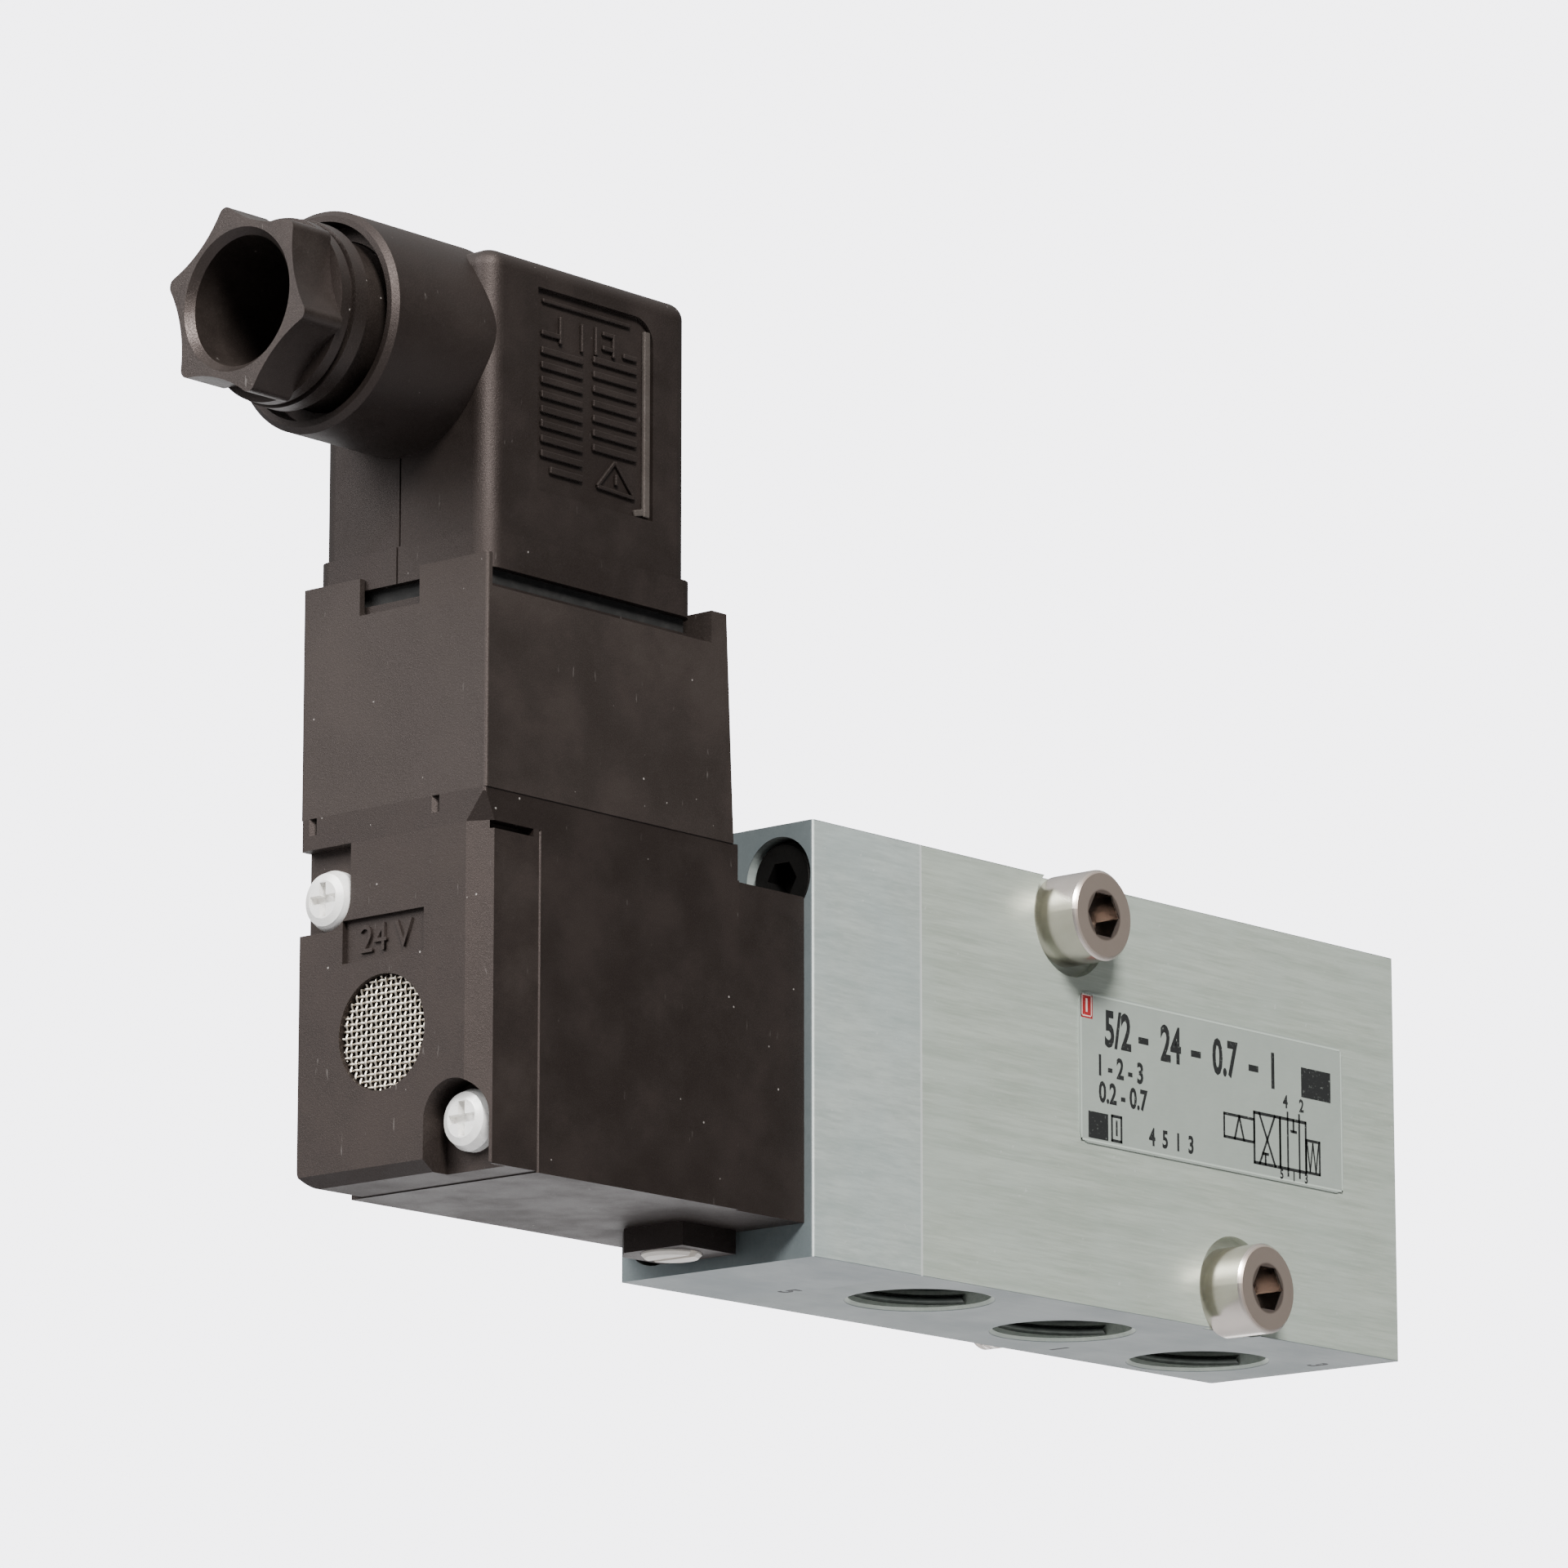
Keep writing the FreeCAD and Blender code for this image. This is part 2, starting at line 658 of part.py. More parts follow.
def pilot_body():
    body = new_body("pilot_body")
    outline = [
        (d.cover_left, d.flange_low),
        (d.cover_right, d.flange_low),
        (d.cover_right, d.pilot_low),
        (d.plate_left, d.pilot_low),
        (d.plate_left, d.neck_high),
        (d.neck_left, d.neck_high),
        (d.neck_left, d.pilot_high),
        (d.cover_left, d.pilot_high),
    ]
    pad(body, "Y", d.pilot_front, d.pilot_back, [outline])
    outer = (value_of(d.cover_left), value_of(d.neck_left))
    round_edges(body, d.edge_round, "Z", lambda middle: min(abs(middle.x - x) for x in outer) < 0.1)
    # the boss of the manual override, under the neck
    centre_x, centre_y = d.override_x, d.override_y
    boss = [
        (centre_x - 3.1, centre_y - 4.1),
        (centre_x + 4.0, centre_y - 4.1),
        (centre_x + 4.0, centre_y + 4.6),
        (centre_x - 1.4, centre_y + 4.6),
        (centre_x - 3.1, centre_y + 2.9),
    ]
    pad(body, "Z", d.boss_low, d.pilot_low + 0.2, [boss])
    # the flange's front corner runs out into the cover's chamfer
    corner_x, corner_y = d.cover_left, d.pilot_front
    sections = []
    for level, share in ((d.flange_low, 1.0), (d.pilot_high - 0.2, 0.04)):
        sketch = sketch_on(body, "Z", level)
        run_x, run_y = 1.2 * share, 2.2 * share
        triangle = [(corner_x - 1, corner_y - 1), (corner_x - 1, corner_y + run_y)]
        triangle += [(corner_x, corner_y + run_y), (corner_x + run_x, corner_y)]
        triangle.append((corner_x + run_x, corner_y - 1))
        draw_outline(sketch, triangle)
        sections.append(sketch)
    loft = body.newObject("PartDesign::SubtractiveLoft", "Loft")
    loft.Profile = sections[0]
    loft.Sections = [sections[1]]
    # the neck's front stands behind that of the part under the coil
    step = rectangle(d.neck_left, d.plate_left, d.pilot_front, d.pilot_front + d.neck_inset)
    pocket(body, "Z", d.pilot_low, d.neck_high, [step])
    # the edge along the cover is bevelled, so the joint shows as a line
    bevel = [
        (d.cover_right, d.pilot_front),
        (d.cover_right + d.seam, d.pilot_front),
        (d.cover_right, d.pilot_front + d.seam),
    ]
    pocket(body, "Z", d.pilot_low, d.flange_low, [bevel])
    # two small notches in the flange's end face
    for notch_y in (d.pilot_front + 5.4, d.pilot_back - 1.9):
        notch = [(d.cover_left, notch_y), (d.cover_left + 1.0, notch_y), (d.cover_left, notch_y + 0.9)]
        pocket(body, "Z", d.pilot_high - 1.5, d.pilot_high, [notch])
    # the armature's chamber with its raised seat, and the seat of the core tube's collar
    coil = (d.coil_x, d.axis_y)
    pocket(body, "Z", d.armature_low - 1.55, d.pilot_high, circles=[(*coil, 5.6)])
    pocket(body, "Z", d.neck_high, d.pilot_high, circles=[(*coil, 7.5)])
    pad(body, "Z", d.armature_low - 1.65, d.armature_low - 0.6, circles=[(*coil, 2.0)])
    # the supply way goes down behind the neck, along to the seat and up through it
    low = 2.0
    pocket(body, "X", d.override_x, d.plate_left, circles=[(d.axis_y, d.supply_z, d.drill)])
    pocket(body, "Z", low, d.supply_z, circles=[(d.override_x, d.axis_y, d.drill)])
    pocket(body, "X", d.coil_x, d.override_x, circles=[(d.axis_y, low, d.drill)])
    pocket(body, "Z", low, d.armature_low - 0.6, circles=[(*coil, 0.6)])
    # the signal way leads from the chamber to the piston
    pocket(body, "Z", d.signal_z, d.armature_low - 1.5, circles=[(d.coil_x + 3.6, d.signal_y, d.drill)])
    pocket(body, "X", d.coil_x + 3.6, d.plate_left, circles=[(d.signal_y, d.signal_z, d.drill)])
    # the exhaust way leads from the chamber to the screen in the cover
    exhaust = (d.exhaust_y, d.exhaust_z)
    pocket(body, "X", d.cover_right, d.cover_right + 3, circles=[(*exhaust, 4.4)])
    pocket(body, "Z", d.exhaust_z, 11.5, circles=[(d.cover_right + 2, d.axis_y, d.drill)])
    pocket(body, "X", d.cover_right + 2, d.coil_x - 4, circles=[(d.axis_y, 10.6, d.drill)])
    # holes for the two long screws, and the override's stepped bore
    holes = [(y, z, 1.6) for y, z, seat in PILOT_SCREWS]
    pocket(body, "X", d.cover_right, d.plate_left, circles=holes)
    override = (d.override_x, d.override_y)
    pocket(body, "Z", d.boss_low, d.override_top, circles=[(*override, d.button_radius + 0.05)])
    pocket(body, "Z", d.override_top, 3.2, circles=[(*override, 1.2)])
    # the gasket's recess
    recess = rectangle(d.pilot_front + 1, d.pilot_back - 1, d.pilot_low + 1, d.neck_high - 1)
    pocket(body, "X", d.plate_left - 0.8, d.plate_left, [recess])


def pilot_gasket():
    body = new_body("pilot_gasket")
    outline = rectangle(d.pilot_front + 1, d.pilot_back - 1, d.pilot_low + 1, d.neck_high - 1)
    pad(body, "X", d.plate_left - 0.8, d.plate_left, [outline])
    holes = [(y, z, 1.7) for y, z, seat in PILOT_SCREWS]
    holes += [(d.axis_y, d.supply_z, d.drill), (d.signal_y, d.signal_z, d.drill)]
    pocket(body, "X", d.plate_left - 0.8, d.plate_left, circles=holes)
    # it stops short of the override's bore, which opens on the neck's underside
    relief = rectangle(d.override_y - 3, d.override_y + 3, d.pilot_low + 1, d.override_top + 0.5)
    pocket(body, "X", d.plate_left - 0.8, d.plate_left, [relief])


def pilot_cover():
    body = new_body("pilot_cover")
    outline = [
        (d.cover_right, d.pilot_front),
        (d.cover_right, d.pilot_back),
        (d.cover_left, d.pilot_back),
        (d.cover_left, d.pilot_front + 2.2),
        (d.cover_left + 1.2, d.pilot_front),
    ]
    pad(body, "Z", d.cover_low, d.flange_low, [outline])
    low_back = (value_of(d.pilot_back), value_of(d.cover_low))
    round_edges(
        body, 1.6, "X", lambda middle: math.hypot(middle.y - low_back[0], middle.z - low_back[1]) < 0.1
    )
    # the lower edge of the end face is bevelled
    bevel = [
        (d.cover_left, d.cover_low),
        (d.cover_left + 1.3, d.cover_low),
        (d.cover_left, d.cover_low + 0.95),
    ]
    pocket(body, "Y", d.pilot_front, d.pilot_back, [bevel])
    # a plate recess, the exhaust opening with its ledge, and two screw pockets
    plate = rectangle(d.pilot_front + 7.1, d.pilot_back - 5.2, 2.55, 6.35)
    pocket(body, "X", d.cover_left, d.cover_left + 0.5, [plate])
    exhaust = (d.exhaust_y, d.exhaust_z)
    pocket(body, "X", d.cover_left, d.cover_left + 0.8, circles=[(*exhaust, d.exhaust_radius)])
    pocket(body, "X", d.cover_left, d.cover_right, circles=[(*exhaust, 4.4)])
    well = 2.8
    pocket(body, "X", d.cover_left, d.screw1_seat, circles=[(d.screw1_y, d.screw1_z, well)])
    above = rectangle(d.screw1_y - well, d.pilot_back, d.screw1_z, d.flange_low)
    pocket(body, "X", d.cover_left, d.screw1_seat, [above])
    beside = rectangle(d.screw1_y, d.pilot_back, d.screw1_z - well, d.screw1_z + 1)
    pocket(body, "X", d.cover_left, d.screw1_seat, [beside])
    slot = 3.35
    pocket(body, "X", d.cover_left, d.screw2_seat, circles=[(d.screw2_y, d.screw2_z, slot)])
    below = rectangle(d.screw2_y - slot, d.screw2_y + slot, d.cover_low, d.screw2_z)
    pocket(body, "X", d.cover_left, d.screw2_seat, [below])
    holes = [(y, z, 1.6) for y, z, seat in PILOT_SCREWS]
    pocket(body, "X", d.cover_left, d.cover_right, circles=holes)
    # slots under the flange at both ends
    front_slot = rectangle(d.cover_left + 1.0, d.cover_right - 0.7, d.flange_low - 0.7, d.flange_low)
    pocket(body, "Y", d.pilot_front, d.pilot_front + 1.2, [front_slot])
    # the gasket's recess
    recess = rectangle(d.pilot_front + 1.2, d.pilot_back - 1.2, d.cover_low + 1.2, d.flange_low - 1.2)
    pocket(body, "X", d.cover_right - 1, d.cover_right, [recess])


def cover_gasket():
    body = new_body("cover_gasket")
    outline = rectangle(d.pilot_front + 1.2, d.pilot_back - 1.2, d.cover_low + 1.2, d.flange_low - 1.2)
    pad(body, "X", d.cover_right - 1, d.cover_right, [outline])
    holes = [(y, z, 1.7) for y, z, seat in PILOT_SCREWS]
    holes.append((d.exhaust_y, d.exhaust_z, 4.4))
    pocket(body, "X", d.cover_right - 1, d.cover_right, circles=holes)


def exhaust_screen():
    body = new_body("exhaust_screen")
    disc = (d.exhaust_y, d.exhaust_z, d.exhaust_radius - 0.05)
    pad(body, "X", d.cover_left + 0.3, d.cover_left + 0.8, circles=[disc])


def pilot_screws():
    screws = [
        pan_screw((seat - 1.9, y, z), "X", 2.7, 1.9, 1.49, d.pilot_screw_long, 4)
        for y, z, seat in PILOT_SCREWS
    ]
    group("pilot_screws", screws)


def manual_override():
    """A slotted button whose pin opens the supply way to the signal way when it is pushed up."""
    groove_low = d.button_low + 4.1
    points = [
        (d.button_low, 0),
        (d.button_low, d.button_radius - 0.3),
        (d.button_low + 0.3, d.button_radius),
        (groove_low, d.button_radius),
        (groove_low, d.button_radius - 0.85),
        (groove_low + 0.95, d.button_radius - 0.85),
        (groove_low + 0.95, d.button_radius),
        (d.button_top, d.button_radius),
        (d.button_top, 1.1),
        (1.2, 1.1),
        (1.2, 0),
    ]
    button = turned("override_button", points, (d.override_x, d.override_y, 0), "Z")
    pocket(button, "X", d.button_low, d.button_low + 0.8, [rectangle(-3, 3, -0.4, 0.4)])
    at = (d.override_x, d.override_y, groove_low + 0.475)
    ring("override_seal", at, "Z", d.button_radius - 0.42, 0.42)
    at = (d.override_x, d.override_y, d.button_top + 0.3)
    spring("override_spring", at, "Z", 1.9, 0.25, d.override_top - d.button_top - 0.6, 4)


# ---------------------------------------------------------------- coil and armature

COIL = (d.coil_x, d.axis_y)


def coil_housing():
    body = new_body("coil_housing")
    outline = [
        (d.cover_left, d.pilot_high),
        (d.coil_right, d.pilot_high),
        (d.coil_right - 1, d.coil_high),
        (d.cover_left, d.coil_high),
    ]
    pad(body, "Y", d.coil_front, d.coil_back, [outline])
    corners = value_of(d.coil_right) - 2
    round_edges(body, d.edge_round, "Z", lambda middle: middle.x < corners)
    # the space for the winding, and the wider tray on top for the connector
    hollow = rectangle(d.cover_left + 1.2, d.coil_right - 2.4, d.coil_front + 1.2, d.coil_back - 1.2)
    pocket(body, "Z", d.pilot_high + 1.5, d.base_low, [hollow])
    tray = rectangle(d.cover_left + 0.7, d.coil_right - 3.0, d.coil_front + 0.7, d.coil_back - 0.7)
    pocket(body, "Z", d.base_low, d.coil_high, [tray])
    pocket(body, "Z", d.pilot_high, d.pilot_high + 1.5, circles=[(*COIL, d.tube_radius + 0.1)])
    # the long walls are lower than the end walls, and one end wall is notched
    sill = rectangle(d.cover_left + 0.6, d.coil_right - 3.0, d.sill_high, d.coil_high)
    pocket(body, "Y", d.coil_front, d.coil_back, [sill])
    notch = rectangle(d.axis_y - 2.9, d.axis_y + 4.3, d.sill_high - 0.4, d.coil_high)
    pocket(body, "X", d.cover_left, d.cover_left + 0.7, [notch])


def yoke():
    body = new_body("yoke")
    thick = 1.8
    half = 12.2
    low = d.pilot_high + 1.6
    high = d.base_low - 0.15
    outer = rectangle(d.coil_x - half, d.coil_x + half, low, high)
    pad(body, "Y", d.axis_y - 8, d.axis_y + 8, [outer])
    window = rectangle(d.coil_x - half + thick, d.coil_x + half - thick, low + thick, high - thick)
    pocket(body, "Y", d.axis_y - 8, d.axis_y + 8, [window])
    pocket(body, "Z", low, high, circles=[(*COIL, d.tube_radius + 0.05)])


def bobbin_and_winding():
    low = d.pilot_high + 3.55
    high = d.base_low - 2.05
    inner = d.tube_radius + 0.05
    barrel = 6.0
    points = [
        (low, inner),
        (low, 9.3),
        (low + 1, 9.3),
        (low + 1, barrel),
        (high - 1, barrel),
        (high - 1, 9.3),
        (high, 9.3),
        (high, inner),
    ]
    turned("bobbin", points, (*COIL, 0), "Z")
    winding = [(low + 1.1, barrel), (low + 1.1, 9.0), (high - 1.1, 9.0), (high - 1.1, barrel)]
    turned("coil_winding", winding, (*COIL, 0), "Z")


def core_and_armature():
    collar_low = d.neck_high + 1.2
    collar_high = d.pilot_high - 0.1
    inner = d.tube_radius - 0.4
    tube = [
        (d.armature_low + 0.2, inner),
        (d.armature_low + 0.2, d.tube_radius),
        (collar_low, d.tube_radius),
        (collar_low, 7.4),
        (collar_high, 7.4),
        (collar_high, d.tube_radius),
        (d.core_high, d.tube_radius),
        (d.core_high, inner),
    ]
    turned("core_tube", tube, (*COIL, 0), "Z")
    ring("core_seal", (*COIL, d.neck_high + 0.6), "Z", 6.5, 0.6)
    # the fixed core closes the top of the tube, and the armature's spring sits in both
    pocket_radius = 1.9
    core_low = d.armature_high + d.lift
    core = [
        (core_low, pocket_radius),
        (core_low, inner),
        (d.core_high, inner),
        (d.core_high, 0),
        (core_low + 1.5, 0),
        (core_low + 1.5, pocket_radius),
    ]
    turned("fixed_core", core, (*COIL, 0), "Z")
    spring_low = d.armature_high - 9
    armature = [
        (d.armature_low + 1.2, 0),
        (d.armature_low + 1.2, 2.4),
        (d.armature_low, 2.4),
        (d.armature_low, d.armature_radius),
        (d.armature_high, d.armature_radius),
        (d.armature_high, pocket_radius),
        (spring_low, pocket_radius),
        (spring_low, 0),
    ]
    piece = turned("armature", armature, (*COIL, 0), "Z")
    flutes = [
        rectangle(-0.5, 0.5, 3.7, 5.0),
        rectangle(-0.5, 0.5, -5.0, -3.7),
    ]
    pocket(piece, "X", d.armature_low, d.armature_high, flutes)
    seal_low = d.armature_low - 0.55
    seal = [(seal_low, 0), (seal_low, 2.4), (d.armature_low + 1.2, 2.4), (d.armature_low + 1.2, 0)]
    turned("poppet_seal", seal, (*COIL, 0), "Z")
    long = core_low + 1.5 - spring_low
    spring("armature_spring", (*COIL, spring_low + 0.3), "Z", 1.45, 0.25, long - 0.6, 8)


# ---------------------------------------------------------------- plug connector

SCREW = (d.screw_x, d.axis_y)
BLADES = [
    (d.screw_x - 7.75, d.axis_y, 0.8, 6.3),
    (d.screw_x + 7.75, d.axis_y, 0.8, 6.3),
    (d.screw_x, d.axis_y + 6.3, 6.3, 0.8),
]
BLADE_HIGH = d.base_high + 8.8


def blade_outlines(play):
    return [
        rectangle(x - wide / 2 - play, x + wide / 2 + play, y - deep / 2 - play, y + deep / 2 + play)
        for x, y, wide, deep in BLADES
    ]


def terminal_base():
    body = new_body("terminal_base")
    outline = rectangle(d.cover_left + 0.8, d.coil_right - 3.1, d.coil_front + 0.8, d.coil_back - 0.8)
    pad(body, "Z", d.base_low, d.base_high, [outline])
    pad(body, "Z", d.base_high - 0.1, d.skirt_high + 0.3, circles=[(*SCREW, 4.0)])
    pocket(body, "Z", d.base_low + 1, d.skirt_high + 0.3, circles=[(*SCREW, 1.5)])
    blades = new_body("terminal_blades")
    pad(blades, "Z", d.base_high, BLADE_HIGH, blade_outlines(0))
    gasket = new_body("connector_gasket")
    inset = 0.8
    frame = rectangle(
        d.skirt_left + inset, d.skirt_right - inset, d.skirt_front + inset, d.skirt_back - inset
    )
    pad(gasket, "Z", d.base_high, d.skirt_low, [frame])
    pocket(gasket, "Z", d.base_high, d.skirt_low, blade_outlines(0.2), [(*SCREW, 4.1)])


def connector_housing():
    body = new_body("connector_housing")
    step = d.hood_step
    skirt = rectangle(d.skirt_left, d.skirt_right, d.skirt_front, d.skirt_back)
    hood = rectangle(d.skirt_left + step, d.hood_right, d.skirt_front + step, d.skirt_back - step)
    pad(body, "Z", d.skirt_low, d.hood_high, [hood])
    round_edges(body, 1.8, "Z")
    doc.recompute()
    # the top edges are rounded all the way round
    base = body.Tip
    top = value_of(d.hood_high)
    names = [
        f"Edge{number}"
        for number, edge in enumerate(base.Shape.Edges, start=1)
        if all(abs(vertex.Point.z - top) < 1e-4 for vertex in edge.Vertexes)
    ]
    rim = body.newObject("PartDesign::Fillet", "Fillet")
    rim.Base = (base, names)
    rim.Radius = 1.6
    pad(body, "Z", d.skirt_low, d.skirt_high, [skirt])
    below = value_of(d.skirt_high)
    round_edges(body, 1.7, "Z", lambda middle: middle.z < below)
    # the gland's boss, the room inside, and the gland's bore with its wider mouth
    gland = (d.axis_y, d.gland_z)
    pad(body, "X", d.gland_left, d.skirt_left + 3.4, circles=[(*gland, d.gland_radius)])
    wall = d.hood_wall
    inset = step + wall
    room = rectangle(
        d.skirt_left + inset, d.hood_right - wall, d.skirt_front + inset, d.skirt_back - inset
    )
    pocket(body, "Z", d.skirt_low, d.hood_high - 2.5, [room])
    way = [
        (d.gland_left, 0),
        (d.gland_left, 8.8),
        (d.gland_left + 2.5, 8.8),
        (d.gland_left + 2.5, d.gland_bore),
        (d.gland_seat, d.gland_bore),
        (d.gland_seat, 5.0),
        (d.skirt_left + 3.4, 5.0),
        (d.skirt_left + 3.4, 0),
    ]
    bore(body, d.axis_y, d.gland_z, way)
    rim = 0.5
    edge = [
        (d.gland_left, d.gland_radius - rim),
        (d.gland_left, d.gland_radius + rim),
        (d.gland_left + rim, d.gland_radius + rim),
        (d.gland_left + rim, d.gland_radius),
    ]
    bore(body, d.axis_y, d.gland_z, edge)
    # the sunk seat and the hole of the fixing screw
    pocket(body, "Z", d.hood_high - 2.5, d.hood_high, circles=[(*SCREW, 1.7)])
    pocket(body, "Z", d.hood_high - 1.3, d.hood_high, circles=[(*SCREW, 3.3)])
    # the sunk panel on the front
    panel = rectangle(d.skirt_left + 6.5, d.hood_right - 4.9, 43.6, 61.9)
    pocket(body, "Y", d.skirt_front + step, d.skirt_front + step + 0.45, [panel])
    corner_x, corner_z = value_of(d.hood_right) - 4.9, 61.9
    round_edges(body, 2.4, "Y", lambda middle: math.hypot(middle.x - corner_x, middle.z - corner_z) < 0.1)
    # the moulding's parting line down the end under the boss
    line = (d.axis_y + 0.4, d.axis_y + 0.6)
    outer = rectangle(d.skirt_left - 0.1, d.skirt_left + 0.15, *line)
    inner = rectangle(d.skirt_left - 0.1, d.skirt_left + step + 0.15, *line)
    pocket(body, "Z", d.skirt_low, d.skirt_high, [outer])
    pocket(body, "Z", d.skirt_high, d.gland_z - d.gland_radius, [inner])


def terminal_block():
    body = new_body("terminal_block")
    inset = d.hood_wall + d.hood_step + 0.4
    outline = rectangle(
        d.skirt_left + inset, d.hood_right - d.hood_wall - 0.4, d.skirt_front + inset, d.skirt_back - inset
    )
    low = d.skirt_high + 0.7
    high = low + 10.4
    pad(body, "Z", low, high, [outline])
    pocket(body, "Z", low, BLADE_HIGH + 0.5, blade_outlines(0.15))
    pocket(body, "Z", low, high, circles=[(*SCREW, 1.7)])
    places = [(d.screw_x - 7.75, d.axis_y), (d.screw_x + 7.75, d.axis_y), (d.screw_x, d.axis_y + 5.2)]
    pocket(body, "Z", high - 4.5, high, circles=[(x, y, 1.4) for x, y in places])
    screws = [pan_screw((x, y, high + 1.5), "-Z", 2.4, 1.5, 1.39, 4.4, 2) for x, y in places]
    group("terminal_screws", screws)


def connector_screw():
    seat = d.hood_high - 1.3
    long = seat - d.base_high - 0.5
    keep(pan_screw((*SCREW, seat + 1.8), "-Z", 2.8, 1.8, 1.49, long, 2), "connector_screw")


# ---------------------------------------------------------------- cable gland

def draw_hollow_hexagon(sketch, corner, hollow, rounding, turn):
    """A hexagon with rounded corners whose six sides are hollowed by arcs, all tangent."""
    reach = corner - rounding
    side = corner * math.cos(math.radians(30)) - hollow
    inset = reach * math.cos(math.radians(30))
    side_radius = (rounding**2 - reach**2 - side**2 + 2 * inset * side) / (2 * (side - inset - rounding))
    arcs = []
    for step in range(6):
        centres = []
        for angle, away in ((turn + 60 * step, reach), (turn + 60 * step + 30, side + side_radius)):
            radians = math.radians(angle)
            centres.append(FreeCAD.Vector(away * math.cos(radians), away * math.sin(radians), 0))
        arcs += [(centres[0], rounding), (centres[1], side_radius)]
    up = FreeCAD.Vector(0, 0, 1)
    for number, (centre, radius) in enumerate(arcs):
        ends = []
        for other, other_radius in (arcs[number - 1], arcs[(number + 1) % 12]):
            towards = (other - centre).normalize()
            ends.append(math.atan2(towards.y, towards.x))
        if number % 2:
            ends.reverse()
        sketch.addGeometry(Part.ArcOfCircle(Part.Circle(centre, up, radius), *ends))
    for number, (centre, radius) in enumerate(arcs):
        following = (number + 1) % 12
        points = (1, 1) if number % 2 else (2, 2)
        sketch.addConstraint(Sketcher.Constraint("Tangent", number, points[0], following, points[1]))
        sketch.addConstraint(Sketcher.Constraint("Radius", number, radius))
        if number % 2 == 0:
            hold(sketch, "DistanceX", number, 3, centre.x)
            hold(sketch, "DistanceY", number, 3, centre.y)


def gland_nut():
    """A cap nut with hollowed sides, two collars and a thread that enters the boss."""
    points = [
        (d.nut_left, d.nut_bore + 0.6),
        (d.nut_left, 6.8),
        (d.nut_shoulder, 6.8),
        (d.nut_shoulder, 8.1),
        (d.nut_shoulder + 1.1, 8.1),
        (d.nut_shoulder + 1.1, 7.8),
        (d.nut_shoulder + 1.5, 7.8),
        (d.nut_shoulder + 1.5, 8.3),
        (d.nut_shoulder + 3.0, 8.3),
        (d.nut_shoulder + 3.0, d.gland_bore - 0.1),
        (d.nut_right, d.gland_bore - 0.1),
        (d.nut_right, d.nut_bore),
        (d.nut_left + 0.7, d.nut_bore),
    ]
    body = turned("gland_nut", points, (0, d.axis_y, d.gland_z))
    sketch = sketch_on(body, "X", d.nut_left)
    draw_hollow_hexagon(sketch, SIZES["nut_corner"], 0.5, 0.8, 18.8)
    draw_circle(sketch, 0, 0, d.nut_bore + 0.6)
    head = body.newObject("PartDesign::Pad", "Pad")
    head.Profile = sketch
    head.setExpression("Length", text_of(d.nut_shoulder - d.nut_left))


def gland_inside():
    washer = [
        (d.nut_right, 5.0),
        (d.nut_right, d.gland_bore - 0.15),
        (d.grommet_left - 0.05, d.gland_bore - 0.15),
        (d.grommet_left - 0.05, 5.0),
    ]
    turned("gland_washer", washer, (0, d.axis_y, d.gland_z))
    grommet = [
        (d.grommet_left, 4.2),
        (d.grommet_left, d.gland_bore - 0.2),
        (d.gland_seat, d.gland_bore - 0.2),
        (d.gland_seat, 4.2),
    ]
    turned("gland_grommet", grommet, (0, d.axis_y, d.gland_z))


# ---------------------------------------------------------------- build, check and write

for make in (
    valve_body,
    pilot_end_plate,
    end_plate_gasket,
    end_plate_screws,
    mounting_screws,
    port_seals,
    name_label,
    spool,
    piston,
    blind_end,
    retaining_ring,
    pilot_body,
    pilot_gasket,
    pilot_cover,
    cover_gasket,
    exhaust_screen,
    pilot_screws,
    manual_override,
    coil_housing,
    yoke,
    bobbin_and_winding,
    core_and_armature,
    terminal_base,
    connector_housing,
    terminal_block,
    connector_screw,
    gland_nut,
    gland_inside,
):
    make()
doc.recompute()

for item in doc.Objects:
    if "Invalid" in item.State or "Error" in item.State:
        raise RuntimeError(f"{item.Label} ({item.Name}) did not recompute: {item.State}")
    if item.TypeId in ("PartDesign::Pocket", "PartDesign::Groove", "PartDesign::SubtractiveLoft"):
        if item.Shape.Volume > item.BaseFeature.Shape.Volume - 1e-3:
            raise RuntimeError(f"{item.Name} of {item.getParentGeoFeatureGroup().Label} cuts nothing")
for item in parts:
    if item.Shape.isNull() or not item.Shape.isValid() or not item.Shape.Solids:
        raise RuntimeError(f"{item.Label} has no valid shape")

os.makedirs("parts", exist_ok=True)
for item in parts:
    item.Shape.exportStep(f"parts/{item.Label}.step")
print(len(parts), "sub-parts written")
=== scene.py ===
import json
import math

import bpy
from mathutils import Matrix, Vector


